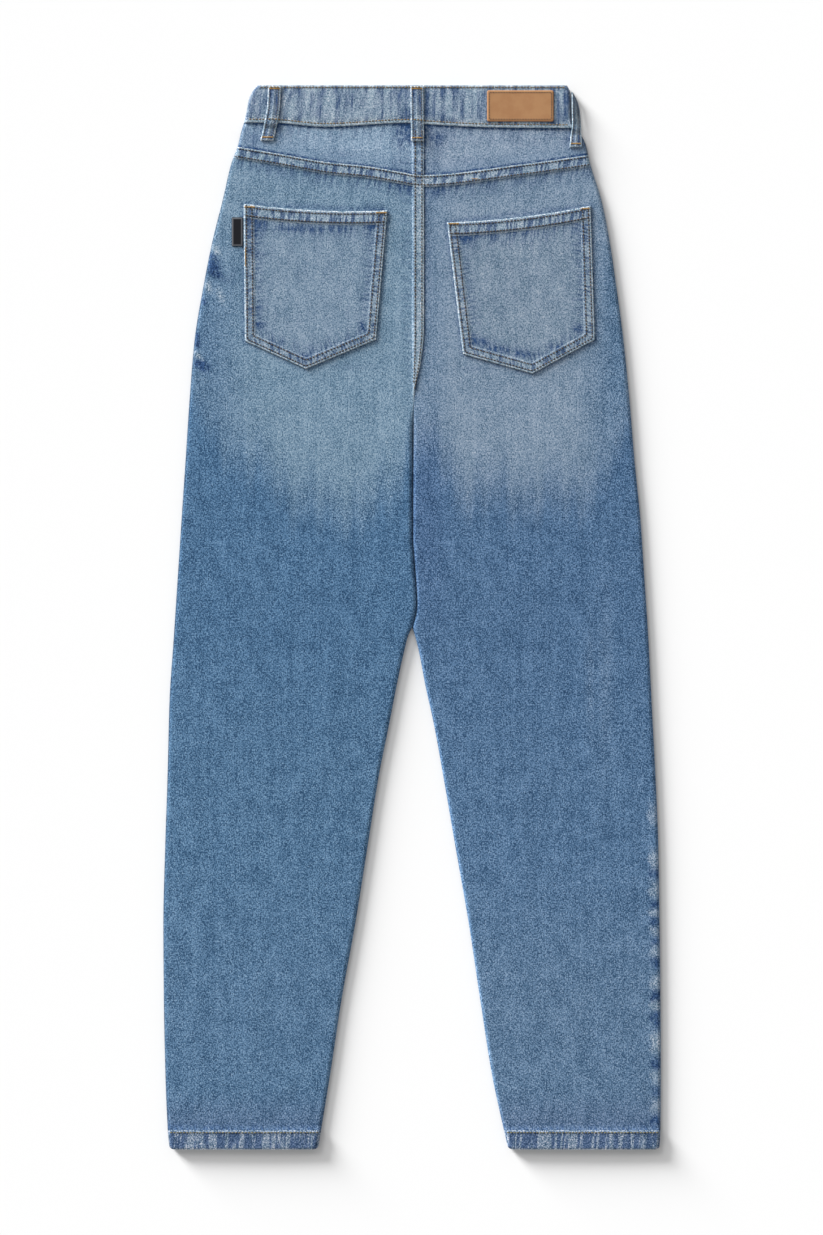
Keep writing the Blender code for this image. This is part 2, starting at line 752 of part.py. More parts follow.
def build():
    clear_scene()
    jeans = new_collection("mom_jeans")
    guides = new_collection("cutters")
    build_backs(jeans)
    build_fronts(jeans)
    band = waistband("waistband denim", jeans)
    cut_button_seat(band, guides)
    button("brass", jeans)
    pocket("back_pocket_left", LEFT_POCKET, "faded denim", jeans)
    pocket("back_pocket_right", RIGHT_POCKET, "faded denim", jeans)
    belt_loop("belt_loop_back_left", LEFT_LOOP, "waistband denim", jeans)
    belt_loop("belt_loop_back_centre", CENTRE_LOOP, "waistband denim", jeans)
    belt_loop("belt_loop_back_right", RIGHT_LOOP, "waistband denim", jeans)
    front_loop("belt_loop_front_left", -FRONT_LOOP_AT, "waistband denim", jeans)
    front_loop("belt_loop_front_right", FRONT_LOOP_AT, "waistband denim", jeans)
    flat_piece("leather_patch", PATCH, PATCH_CLOTH, band_top, 4, "leather", jeans)
    flat_piece("side_tab", TAB, TAB_CLOTH, back_top, 2, "woven tape", jeans)


build()
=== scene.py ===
# Mom jeans laid flat with the back up, on a white sheet in soft studio light.
# Tables are in millimetres: across (+ is the photo's right), down (below the waist edge), height.

import random
from functools import partial
from math import cos, pi, radians, sin

import bpy
import numpy as np
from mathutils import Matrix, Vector
from mathutils.bvhtree import BVHTree

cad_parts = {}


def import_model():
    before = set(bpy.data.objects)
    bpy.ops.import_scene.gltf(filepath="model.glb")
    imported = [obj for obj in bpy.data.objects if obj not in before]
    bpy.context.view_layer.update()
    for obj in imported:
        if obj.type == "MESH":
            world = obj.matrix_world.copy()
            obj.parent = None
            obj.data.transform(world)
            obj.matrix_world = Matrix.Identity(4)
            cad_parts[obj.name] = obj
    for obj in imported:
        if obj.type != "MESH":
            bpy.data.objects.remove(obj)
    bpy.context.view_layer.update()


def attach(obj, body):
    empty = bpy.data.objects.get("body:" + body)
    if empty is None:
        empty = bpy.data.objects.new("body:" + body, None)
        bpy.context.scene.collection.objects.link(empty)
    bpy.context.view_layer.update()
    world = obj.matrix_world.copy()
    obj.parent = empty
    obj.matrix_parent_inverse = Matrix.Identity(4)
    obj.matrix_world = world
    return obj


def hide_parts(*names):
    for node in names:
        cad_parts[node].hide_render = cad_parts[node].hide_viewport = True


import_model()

# The cut: outlines as in the part's source

length = 1022.0
denim = 1.2             # one layer of cloth
seamGap = 0.3           # between two pieces
seamRise = 0.35         # height of the seam where two pieces meet, beyond the cloth
roll = 3.5              # width over which a side turns down to its seam
fell = 10.6             # width of a lapped and double-stitched seam
fellRise = 1.0
hem = 17.0
hemCloth = 2.3
hemRise = 0.4
hemArea = 800.0         # below this the sewn bands are the hem's
bandCloth = 2.2
crotch = 521.3
loopWidth, loopCloth = 12.5, 1.35
frontLoopAt = 72.0
recess = 1.5            # front loops and button are pressed into the waistband

outline = [
    (0.0, -148.8, 149.2), (5.8, -153.6, 151.9), (14.4, -157.4, 152.6), (25.9, -159.4, 152.9),
    (35.5, -161.8, 154.0), (43.2, -164.2, 159.0), (50.9, -166.1, 164.8), (58.6, -168.0, 167.8),
    (73.9, -173.8, 171.2), (110.4, -182.4, 182.4), (148.8, -192.0, 190.1), (187.2, -199.7, 195.8),
    (244.8, -209.3, 203.5), (302.4, -214.1, 209.3), (360.0, -217.9, 214.1), (417.6, -221.8, 219.8),
    (475.2, -225.6, 223.7), (532.8, -229.4, 227.5), (590.4, -233.3, 230.4), (662.4, -235.2, 234.2),
    (734.4, -237.6, 237.1), (806.4, -239.3, 238.2), (878.4, -238.8, 239.0), (950.4, -237.3, 239.3),
    (1001.0, -235.2, 239.0), (1022.0, -233.2, 237.9),
]
inseam = [
    (521.3, -0.3, 0.3), (529.0, -3.8, 2.9), (544.3, -7.7, 6.7), (575.0, -14.4, 12.5),
    (614.4, -22.1, 21.1), (662.4, -31.7, 29.8), (734.4, -43.2, 42.2), (806.4, -54.7, 54.7),
    (878.4, -67.7, 65.5), (950.4, -78.7, 76.8), (1001.0, -86.9, 87.6), (1022.0, -90.4, 92.4),
]
seatSeam = [(0.0, 11.5), (234.2, 11.5), (264.0, 8.6), (296.6, 2.2), (335.0, 0.6), (431.0, 0.2),
            (464.6, 2.4), (499.2, 4.4), (521.3, 0.0)]
bandSeamTable = [(-170.0, 35.4), (-135.0, 35.6), (-83.5, 39.6), (-3.0, 35.8), (12.5, 37.0),
                 (78.7, 40.2), (170.0, 41.0)]
yokeSeamTable = [(-180.0, 56.5), (-122.9, 66.2), (-81.6, 73.4), (-43.2, 77.4), (-12.5, 82.6),
                 (9.0, 85.9), (103.7, 75.8), (180.0, 65.0)]
leftPocketCorners = [(-161.7, 113.8), (-23.6, 120.2), (-34.6, 244.2), (-102.0, 272.4), (-160.5, 245.5)]
rightPocketCorners = [(33.6, 131.7), (171.6, 115.6), (175.6, 244.2), (115.8, 277.0), (49.0, 258.2)]

# Main creases, listed one by one: from across, down to across, down, half width, height (troughs below 0)
backCreases = [
    (-206, 172, -176, 186, 4.0, 0.55), (-206, 182, -180, 199, 3.5, -0.5),
    (-211, 212, -188, 224, 4.5, 0.45), (-214, 262, -196, 268, 3.0, -0.6),
    (-214, 274, -192, 283, 3.5, 0.5), (-150, 292, -96, 305, 9.0, 0.35),
    (-30, 286, -6, 318, 5.0, 0.45), (6, 305, 27, 330, 4.0, 0.4), (8, 318, 40, 352, 5.0, -0.35),
    (16, 352, 34, 440, 7.0, -0.35), (-14, 360, -28, 470, 8.0, 0.3),
    (-120, 430, -150, 560, 12.0, -0.35), (-70, 520, -92, 690, 14.0, 0.4),
    (120, 470, 150, 600, 13.0, -0.35), (168, 560, 178, 760, 12.0, 0.4),
    (-196, 640, -190, 800, 10.0, -0.3), (96, 640, 112, 820, 11.0, 0.35),
    (-150, 830, -158, 960, 10.0, 0.35), (170, 850, 176, 960, 9.0, -0.3),
    (-104, 955, -128, 992, 6.0, -0.35), (208, 930, 226, 985, 6.0, 0.4),
    (120, 965, 138, 995, 6.0, 0.3), (-200, 960, -214, 996, 5.0, 0.35),
]
frontCreases = [
    (-40, 205, -112, 236, 7.0, 0.4), (-46, 226, -128, 268, 8.0, -0.4), (-38, 252, -104, 300, 8.0, 0.35),
    (36, 208, 116, 232, 7.0, 0.4), (44, 230, 130, 264, 8.0, -0.4), (40, 256, 98, 306, 8.0, 0.35),
    (-90, 600, -150, 612, 9.0, 0.3), (88, 606, 156, 622, 9.0, 0.3),
    (-110, 900, -150, 930, 9.0, -0.3), (120, 890, 160, 925, 9.0, -0.3),
]


# Curves through the tables

def follow(table, at, column=1):
    places, values = np.array(table)[:, 0], np.array(table)[:, column]
    steps = np.diff(values) / np.diff(places)
    before, after = steps[:-1], steps[1:]
    turning = before * after <= 0
    total = np.where(turning, 1.0, before + after)
    slopes = np.concatenate([steps[:1], np.where(turning, 0.0, 2 * before * after / total), steps[-1:]])
    at = np.clip(at, places[0], places[-1])
    k = np.clip(np.searchsorted(places, at, side="right") - 1, 0, len(places) - 2)
    span = places[k + 1] - places[k]
    t = (at - places[k]) / span
    return ((2 * t**3 - 3 * t**2 + 1) * values[k] + (t**3 - 2 * t**2 + t) * slopes[k] * span
            + (3 * t**2 - 2 * t**3) * values[k + 1] + (t**3 - t**2) * slopes[k + 1] * span)


def mix(a, b, t):
    return a + (b - a) * t


def ease(a, b, at):
    t = np.clip((at - a) / (b - a), 0.0, 1.0)
    return t * t * (3 - 2 * t)


def wane(a, b, at):
    return 1 - ease(a, b, at)


def bell(away, width):
    return np.exp(-(away / width) ** 2)


def together(*parts):
    return np.stack(np.broadcast_arrays(*parts), axis=-1)


def edgeOf(table, column, inward):
    # the hem's lower corners are rounded
    def edge(down):
        corner = 3 - np.sqrt(9 - np.clip(3 - (length - down), 0, 2.9) ** 2)
        return follow(table, down, column) + inward * corner
    return edge


leftSide, rightSide = edgeOf(outline, 1, 1), edgeOf(outline, 2, -1)
leftInseam, rightInseam = edgeOf(inseam, 1, -1), edgeOf(inseam, 2, 1)


def leftInner(down):
    return np.where(down < crotch, follow(seatSeam, down), leftInseam(down))


def rightInner(down):
    return np.where(down < crotch, follow(seatSeam, down) + seamGap, rightInseam(down))


def bandSeam(across):
    return follow(bandSeamTable, across)


def yokeSeam(across):
    return follow(yokeSeamTable, across)


def seatRoll(down):
    return ease(296.6, 335.0, down)


def frontRoll(down):
    return ease(crotch - 4, crotch + 9, down)


# Heights of the laid cloth

def crown(low, high, across):
    # the side seams are bulky, so the edges stay nearly as high as the middle
    return 1 - 0.3 * np.clip(np.abs(2 * (across - low) / (high - low) - 1), 0, 1) ** 2.5


def fullness(across, down):
    hip = crown(leftSide(down), rightSide(down), across)
    leftLeg = crown(leftSide(down), leftInseam(down), across)
    rightLeg = crown(rightInseam(down), rightSide(down), across)
    leg = np.where(across < 0, leftLeg, rightLeg)
    return mix(hip, leg, ease(400.0, 560.0, down)) * mix(0.9, 1.0, ease(40, 130, down))


def lapLift(across, down):
    # the left leg's cloth lies over the right one's below the seat
    along = seatRoll(down) * wane(crotch - 40, crotch + 50, down)
    covered = (across <= leftInner(down) + seamGap / 2) & (down <= crotch + 60)
    return np.where(covered, 0.5 * bell(leftInner(down) - across, 18.0) * along, 0.0)


def creased(table, across, down):
    total = 0.0
    for startAcross, startDown, endAcross, endDown, width, height in table:
        dx, dy = endAcross - startAcross, endDown - startDown
        long = (dx * dx + dy * dy) ** 0.5
        along = ((across - startAcross) * dx + (down - startDown) * dy) / long
        aside = ((across - startAcross) * dy - (down - startDown) * dx) / long
        aside = aside + 0.06 * width * np.sin(along / 11.0 + width)
        ends = ease(-0.6 * width, 0.35 * long, along) * wane(0.55 * long, long + 0.6 * width, along)
        total = total + 0.75 * height * ends * bell(aside, width)
    return total


def backTop(across, down, cloth=denim):
    return (2 * cloth + 0.7 + 2.2 * fullness(across, down) + lapLift(across, down)
            + creased(backCreases, across, down))


def bandTop(across, down):
    return 2 * bandCloth + 1.2 + 0.9 * crown(leftSide(down), rightSide(down), across)


def fellProfile(distance):
    return fellRise * mix(0.8, 1.0, ease(0, 0.7, distance)) * wane(fell - 0.5, fell + 0.9, distance)


# Colours and node helper

lightGain = 0.86          # colours are as the photo shows them; this takes the studio's light out again


def linear(hexColour):
    shown = [int(hexColour[k:k + 2], 16) / 255 for k in (1, 3, 5)]
    lit = [c / 12.92 if c <= 0.04045 else ((c + 0.055) / 1.055) ** 2.4 for c in shown]
    return lightGain * np.array(lit)


def rgba(hexColour):
    return (*[float(c) for c in linear(hexColour)], 1.0)


def addNode(tree, kind, inputs=(), output=0, **settings):
    # inputs in the order of the node's sockets, or by number or name
    made = tree.nodes.new("ShaderNode" + kind)
    for key, value in settings.items():
        setattr(made, key, value)
    for key, value in (inputs if isinstance(inputs, dict) else dict(enumerate(inputs))).items():
        if isinstance(value, bpy.types.NodeSocket):
            tree.links.new(value, made.inputs[key])
        else:
            made.inputs[key].default_value = value
    return made.outputs[output]


def newMaterial(name, settings):
    material = bpy.data.materials.new(name)
    material.use_nodes = True
    shader = material.node_tree.nodes["Principled BSDF"]
    for key, value in settings.items():
        shader.inputs[key].default_value = value
    return material, partial(addNode, material.node_tree)


def finishMaterial(material, colour, height=None, strength=0.0, distance=0.0):
    tree = material.node_tree
    shader = tree.nodes["Principled BSDF"]
    tree.links.new(colour, shader.inputs["Base Color"])
    if height:
        relief = {"Strength": strength, "Distance": distance, "Height": height}
        tree.links.new(addNode(tree, "Bump", relief), shader.inputs["Normal"])
    return material


times, plus, less = {"operation": "MULTIPLY"}, {"operation": "ADD"}, {"operation": "SUBTRACT"}
timesPlus = {"operation": "MULTIPLY_ADD"}
smooth = {"interpolation_type": "SMOOTHSTEP"}
blended = {"data_type": "RGBA", "blend_type": "MIX"}
multiplied = {"data_type": "RGBA", "blend_type": "MULTIPLY"}


# Materials

denimLook = {
    # noises: repeats in a metre across and down the warp, shift, detail, roughness, distortion
    "noises": {
        "salt": (800, 690, 0.0, 2.0, 0.85, 0.0),        # light weft between the blue warp
        "streaks": (230, 8, 3.0, 3.0, 0.6, 0.0),        # uneven warp yarns
        "clouds": (64, 44, 7.0, 3.0, 0.65, 0.4),        # stone wash
        "smudges": (300, 170, 4.0, 2.0, 0.6, 0.0),
        "patches": (185, 42, 11.0, 3.0, 0.6, 0.0),      # mottling without a seam beside it
    },
    "twill": 640,
    "yarns": (1080, 900),
    # contrasts on deep blue cloth and on faded cloth
    "contrasts": {"salt": (6.5, 3.6), "yarns": (1.1, 0.58), "streaks": (0.7, 0.5), "clouds": (1.2, 0.75),
                  "twill": (0.16, 0.16)},
    # zones of a sewn band, in shares of its width: where each begins and ends
    "zones": {"inside": (0.02, 0.14, 0.9, 1.02), "below": (1.0, 1.08, 1.1, 2.8),
              "edge": (-0.06, 0.0, 0.07, 0.14), "lower": (0.95, 1.0, 1.03, 1.1)},
    # dye kept in the folds, dye dragged out below them, pale ridges: the zone and the reach of the noise
    "folds": [("inside", (0.51, 0.58, 0.0, 1.3)), ("below", (0.44, 0.62)),
              ("inside", (0.56, 0.42, 0.12, 0.55))],
    "rows": (0.19, 0.89),
    "bands": {"bandA": 0.37, "bandB": 5.1},
    "worn": "#a6bac8",
    "deep": "#2a4a75",
    "weft": "#a9b8c4",
}


def denimMaterial():
    # stonewashed denim: matt twill, blue warp over white weft, worn pale on every sewn edge
    # the real twill is finer than a pixel, so it is drawn as coarse as it needs to show
    material, add = newMaterial("stonewashedDenim", {"Roughness": 0.92, "Specular IOR Level": 0.2,
                                                     "Sheen Weight": 0.05})
    grain = add("UVMap", uv_map="grain")
    paint = {name: add("Attribute", output="Color", attribute_name=name)
             for name in ("dye", "worn", "bandA", "bandB")}
    red = add("SeparateColor", (paint["dye"],))
    rubTotal, deep, mottle = add("SeparateColor", (paint["worn"],)).node.outputs

    pattern = {}
    for name, (wide, tall, shift, detail, rough, warp) in denimLook["noises"].items():
        place = add("Mapping", {"Vector": grain, "Scale": (wide, tall, 1.0), "Location": (shift, shift, 0.0)})
        pattern[name] = add("TexNoise", {"Vector": place, "Scale": 1.0, "Detail": detail, "Roughness": rough,
                                         "Distortion": warp}, "Fac")
    place = add("Mapping", {"Vector": grain, "Scale": (denimLook["twill"], denimLook["twill"], 1.0)})
    waves = {"Vector": place, "Scale": 1.0, "Distortion": 1.2, "Detail": 1.0}
    pattern["twill"] = add("TexWave", waves, "Fac", wave_type="BANDS", bands_direction="DIAGONAL")
    place = add("Mapping", {"Vector": grain, "Scale": (*denimLook["yarns"], 1.0)})
    crossings = add("VectorMath", (place,), operation="FLOOR")
    pattern["yarns"] = add("TexWhiteNoise", {"Vector": crossings}, "Value", noise_dimensions="2D")
    tone = 1.0
    for name, contrasts in denimLook["contrasts"].items():
        contrast = add("MapRange", (red, 0.06, 0.17, *contrasts), **smooth)
        tone = add("Math", (add("Math", (pattern[name], 0.5), **less), contrast, tone), **timesPlus)
    tone = add("Math", (tone, 0.3), operation="MAXIMUM")

    # sewn bands: puckers keep their dye in the folds and wear pale on the ridges
    smudged = add("MapRange", (pattern["smudges"], 0.36, 0.62, 0.35, 1.35), **smooth)
    deepTotal = add("Math", (deep, smudged), **times)
    height = add("Math", (pattern["salt"], 0.25), **times)
    for name, cut in denimLook["bands"].items():
        t, along, strength = add("SeparateColor", (paint[name],)).node.outputs
        slanted = add("Math", (add("Math", (t, 0.0025, along), **timesPlus), 290.0), **times)
        where = add("CombineXYZ", (slanted, add("Math", (t, 0.8), **times), cut))
        fold = add("TexNoise", {"Vector": where, "Scale": 1.0, "Detail": 1.5, "Roughness": 0.5}, "Fac")
        zone = {}
        for key, (begin, begun, ending, end) in denimLook["zones"].items():
            opened = add("MapRange", (t, begin, begun), **smooth)
            closed = add("MapRange", (t, ending, end, 1.0, 0.0), **smooth)
            zone[key] = add("Math", (add("Math", (opened, closed), **times), strength), **times)
        dark, drag, pale = [add("Math", (add("MapRange", (fold, *reach), **smooth), zone[key]), **times)
                            for key, reach in denimLook["folds"]]
        # painted shade in the grooves of the stitch rows
        for row in denimLook["rows"]:
            away = add("Math", (add("Math", (t, row), **less),), operation="ABSOLUTE")
            groove = add("Math", (add("MapRange", (away, 0.04, 0.1, 1.0, 0.0), **smooth), strength), **times)
            dark = add("Math", (groove, 0.8, dark), **timesPlus)
        edge = add("Math", (add("Math", (zone["lower"], 0.85, zone["edge"]), **timesPlus), 0.85), **times)
        rubTotal = add("Math", (rubTotal, add("Math", (pale, edge), **plus)), **plus)
        deepTotal = add("Math", (deepTotal, add("Math", (dark, drag), **plus)), **plus)
        height = add("Math", (add("Math", (fold, zone["inside"]), **times), -2.2, height), **timesPlus)

    deepPatches = add("MapRange", (pattern["patches"], 0.46, 0.66, 0.0, 1.7), **smooth)
    palePatches = add("MapRange", (pattern["patches"], 0.48, 0.3), **smooth)
    deepTotal = add("Math", (deepPatches, mottle, deepTotal), **timesPlus)
    rubTotal = add("Math", (palePatches, mottle, rubTotal), **timesPlus)
    colour = paint["dye"]
    for total, ragged, tint in ((deepTotal, (1.0, 0.6), "deep"), (rubTotal, (0.65, 1.25), "worn")):
        ragged = add("MapRange", (pattern["salt"], 0.25, 0.75, *ragged), **smooth)
        total = add("Math", (total, ragged), use_clamp=True, **times)
        colour = add("Mix", {0: total, 6: colour, 7: rgba(denimLook[tint])}, 2, **blended)
    powers = [add("Math", (tone, power), operation="POWER") for power in (1.4, 1.0, 0.78)]
    colour = add("Mix", {0: 1.0, 6: colour, 7: add("CombineColor", powers)}, 2, **multiplied)
    weft = add("MapRange", (pattern["salt"], 0.57, 0.8, 0.0, 0.25), **smooth)
    colour = add("Mix", {0: weft, 6: colour, 7: rgba(denimLook["weft"])}, 2, **blended)
    height = add("Math", (pattern["twill"], 0.35, height), **timesPlus)
    return finishMaterial(material, colour, height, 0.45, 0.0003)


def leatherMaterial():
    # smooth tan leather: fine grain, its tone a little uneven in patches
    material, add = newMaterial("tanLeather", {"Roughness": 0.5})
    place = add("TexCoord", output="Object")
    grain = add("TexVoronoi", {"Vector": place, "Scale": 1300.0}, "Distance")
    tint = add("TexNoise", {"Vector": place, "Scale": 90.0, "Detail": 4.0, "Roughness": 0.6}, "Fac")
    share = add("MapRange", (tint, 0.35, 0.65), **smooth)
    colour = add("Mix", {0: share, 6: rgba("#a9794f"), 7: rgba("#b08257")}, 2, **blended)
    return finishMaterial(material, colour, grain, 0.25, 0.0002)


def tapeMaterial():
    # woven tape: black weft ribs, a thin grey border woven in
    material, add = newMaterial("blackWovenTape", {"Roughness": 0.9, "Specular IOR Level": 0.15})
    place = add("Mapping", {"Vector": add("UVMap", uv_map="grain"), "Scale": (900, 900, 1.0)})
    ribs = add("TexWave", {"Vector": place, "Scale": 1.0}, "Fac", bands_direction="Y")
    border = add("Attribute", output="Fac", attribute_name="worn")
    colour = add("Mix", {0: border, 6: rgba("#1b1c21"), 7: rgba("#8b8f96")}, 2, **blended)
    return finishMaterial(material, colour, ribs, 0.3, 0.0001)


def brassMaterial():
    # antique brass: satin, tarnished darker in patches
    material, add = newMaterial("antiqueBrass", {"Roughness": 0.38, "Metallic": 1.0})
    place = add("TexCoord", output="Object")
    tarnish = add("TexNoise", {"Vector": place, "Scale": 420.0, "Detail": 4.0, "Roughness": 0.6}, "Fac")
    share = add("MapRange", (tarnish, 0.4, 0.7), **smooth)
    colour = add("Mix", {0: share, 6: rgba("#b08a4c"), 7: rgba("#6e5330")}, 2, **blended)
    return finishMaterial(material, colour)


def threadMaterial():
    # sewing thread: twisted, each stitch a little lighter or darker from the wash
    material, add = newMaterial("washedGoldThread", {"Roughness": 0.7})
    tint = add("Attribute", output="Color", attribute_name="dye")
    place = add("TexCoord", output="Object")
    ply = add("TexNoise", {"Vector": place, "Scale": 2600.0, "Detail": 1.0, "Roughness": 0.5}, "Fac")
    shade = add("MapRange", (ply, 0.3, 0.7, 0.75, 1.15), **smooth)
    shade = add("CombineColor", (shade, shade, shade))
    colour = add("Mix", {0: 1.0, 6: tint, 7: shade}, 2, **multiplied)
    return finishMaterial(material, colour)


denimCloth = denimMaterial()
tanLeather = leatherMaterial()
wovenTape = tapeMaterial()
antiqueBrass = brassMaterial()
goldThread = threadMaterial()
print("materials made")


# Cloth as grids: an outer and an inner sheet, joined round the rim

def gridNormals(points):
    normals = np.cross(np.gradient(points, axis=0), np.gradient(points, axis=1))
    return normals / np.maximum(np.linalg.norm(normals, axis=2, keepdims=True), 1e-9)


def world(across, down, height):
    return together(across, length / 2 - down, height) * 0.001


def gridFaces(index):
    return together(index[:-1, :-1], index[1:, :-1], index[1:, 1:], index[:-1, 1:]).reshape(-1, 4)


def setAttribute(mesh, name, values):
    attribute = mesh.attributes.new(name, "FLOAT_COLOR", "POINT")
    filled = np.ones((len(values), 4))
    filled[:, :values.shape[1]] = values
    attribute.data.foreach_set("color", filled.astype(np.float32).ravel())


def newPiece(name, verts, faces, material):
    mesh = bpy.data.meshes.new(name)
    mesh.from_pydata(verts, [], faces)
    mesh.materials.append(material)
    mesh.shade_smooth()
    piece = bpy.data.objects.new(name, mesh)
    bpy.context.scene.collection.objects.link(piece)
    return piece


def finishPiece(piece, replaced=None):
    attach(piece, "root")
    if replaced:
        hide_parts(replaced)


surfaces = {"back": [], "front": []}      # outer sheets, for laying the stitches on


def clothPiece(name, outer, inner, paint, material=denimCloth, side="back", steepShade=0.3):
    index = np.arange(outer.shape[0] * outer.shape[1]).reshape(outer.shape[:2])
    rim = np.concatenate([index[0], index[1:, -1], index[-1, -2::-1], index[-2:0:-1, 0]])
    after = np.roll(rim, -1)
    faces = np.concatenate([gridFaces(index), gridFaces(index + index.size)[:, ::-1],
                            together(rim, after, after + index.size, rim + index.size)])
    verts = np.concatenate([outer.reshape(-1, 3), inner.reshape(-1, 3)])
    piece = newPiece(name + "_look", verts.tolist(), faces.tolist(), material)
    mesh = piece.data
    upright = np.abs(gridNormals(outer)[..., 2]).reshape(-1, 1)
    for key in ("dye", "worn", "bandA", "bandB"):
        values = np.broadcast_to(paint.get(key, np.zeros(3)), outer.shape).reshape(-1, 3)
        if key == "dye":
            values = values * mix(steepShade, 1.0, upright ** 2)      # painted shade: steep faces darkened, as the low light makes them too bright
            hidden = values * 0.5 + linear("#8fa3b5") * 0.5
            hidden[rim] = values[rim] * 0.35      # painted shade on the wall of the cut edge
        elif key == "worn":
            # less pale paint on steep faces: painted shade against the low light
            values = values * ease(0.45, 0.85, upright)
            hidden = values * 0.2
        else:
            hidden = values * (1, 1, 0)
        setAttribute(mesh, key, np.concatenate([values, hidden]))
    grain = np.tile(paint["grain"].reshape(-1, 2) * 0.001, (2, 1))
    corners = np.empty(len(mesh.loops), dtype=np.int32)
    mesh.loops.foreach_get("vertex_index", corners)
    mesh.uv_layers.new(name="grain").data.foreach_set("uv", grain[corners].astype(np.float32).ravel())
    mesh.set_sharp_from_angle(angle=radians(50))
    surfaces[side].append((outer.reshape(-1, 3), gridFaces(index)))
    finishPiece(piece, name)
    return piece


def spaced(start, end, gap):
    return list(np.linspace(start, end, max(2, round(abs(end - start) / gap) + 1)))


# Dye: light on the seat, deeper down the legs

fadeBorder = [(-213, 283), (-189, 322), (-136, 368), (-79, 402), (-35, 396), (-11, 366), (0, 333),
              (17, 345), (56, 382), (142, 388), (178, 372), (200, 330), (214, 300)]
legColours = {
    "left": {"light": "#7491a8", "hip": "#547697", "deep": "#476d91", "knee": "#4d7294", "calf": "#517495"},
    "right": {"light": "#7c92a8", "hip": "#527393", "deep": "#496b8f", "knee": "#4e7093", "calf": "#587796"},
    "bluerSeat": "#62809f", "bluerThigh": "#47678e", "underYoke": "#65819d", "ankle": "#53698a",
    "hem": "#2f4f79",
}


def layers(across, base, *coats):
    shape = np.broadcast(across, *[share for share, _ in coats]).shape
    colour = np.broadcast_to(linear(base), shape + (3,))
    for share, hexColour in coats:
        colour = mix(colour, linear(hexColour), np.broadcast_to(share, shape)[..., None])
    return colour


def legDye(across, down, left):
    tints = {**legColours, **legColours["left" if left else "right"]}
    ragged = 7 * np.sin(across / 9.0 + 2) + 6 * np.sin(across / 3.7 + down / 60.0) + 5 * np.sin(across / 2.1)
    border = follow(fadeBorder, across) + ragged
    fade = wane(border - 46, border + 44, down)
    strip = (wane(-205, -140, across) if left else ease(148, 200, across)) * ease(90, 190, down)
    bluer = wane(12, 46, across) * (not left)
    coats = {"knee": ease(480, 700, down), "calf": ease(720, 900, down), "light": fade,
             "hip": strip * fade * 0.9, "bluerSeat": 0.5 * fade * bluer,
             "bluerThigh": (1 - fade) * bluer * wane(430, 560, down) * 0.8,
             "underYoke": 0.22 * wane(92, 150, down), "ankle": ease(960, 1000, down) * 0.45,
             "hem": 0.85 * ease(length - hem - 1.0, length - hem, down)}
    return layers(across, tints["deep"], *[(share, tints[name]) for name, share in coats.items()])


def spot(across, down, table):
    total = 0.0
    for atAcross, atDown, wide, tall, strength in table:
        total = total + strength * np.exp(-((across - atAcross) / wide) ** 2 - ((down - atDown) / tall) ** 2)
    return total


# Panels between two edges, each edge with its own columns and its own roll down to the seam

innerReach = [0, 0.12, 0.3, 0.6, 1.0, 1.6, 2.4, 3.5, 4.8, 6.2, 7.6, 8.8, 9.6, 10.2, 10.8, 11.5, 12.6]
sideReach = [roll * (1 - cos(radians(turn))) for turn in (0, 12, 24, 36, 48, 60, 75, 90)]


def panelGrid(lowEdge, highEdge, gap, rows):
    # rows are functions of the place across; solved together, as the columns depend on the rows
    (lowAt, lowReach, lowRoll), (highAt, highReach, highRoll) = lowEdge, highEdge
    middle = max(3, round(float(np.max(highAt(600.0) - lowAt(600.0))) / gap))
    share = (np.arange(middle) + 1) / (middle + 1)
    across = np.zeros((len(rows), len(lowReach) + middle + len(highReach)))
    for _ in range(12):
        down = np.stack([row(across[j]) * np.ones(across.shape[1]) for j, row in enumerate(rows)])
        low, high = lowAt(down), highAt(down)
        start, end = low + lowReach[-1], high - highReach[-1]
        across = np.concatenate([
            low[:, :len(lowReach)] + np.array(lowReach),
            mix(start[:, :middle], end[:, :middle], share),
            high[:, -len(highReach):] - np.array(highReach)[::-1]], axis=1)
    nearLow, nearHigh = across - low, high - across
    bend = 1.0
    for near, rolled in ((nearLow, lowRoll), (nearHigh, highRoll)):
        turn = np.degrees(np.arccos(1 - np.clip(near / roll, 0, 1)))
        bend = bend * np.sin(np.radians(mix(90, turn, rolled(down))))
    return across, down, nearLow, nearHigh, bend


def always(down):
    return np.ones_like(down)


def never(down):
    return np.zeros_like(down)


def lines(downs):
    return [lambda across, down=down: down for down in downs]


def under(curve, extra):
    return lambda across: curve(across) + extra


def between(curveA, curveB, shares):
    return [lambda across, share=share: mix(curveA(across), curveB(across), share) for share in shares]


def hemShape(down):
    # cloth and rise of the turned-up hem
    up = length - down
    folded = wane(hem - 0.6, hem + 4.5, up)
    return mix(denim, hemCloth, folded), hemRise * folded - 0.9 * wane(0, 1.3, up)


def hemPlace(belowStitch):
    # pale line just above the stitch row, folds below it
    return np.interp(belowStitch, [-40, -1.6, -1.2, -0.3, 0.6, hem], [-3.0, -0.08, -0.03, 0.1, 0.22, 0.8])


# Back legs

outerLeft, outerRight = (leftSide, sideReach, always), (rightSide, sideReach, always)
seatLeft, seatRight = (leftInner, innerReach, seatRoll), (rightInner, innerReach, seatRoll)

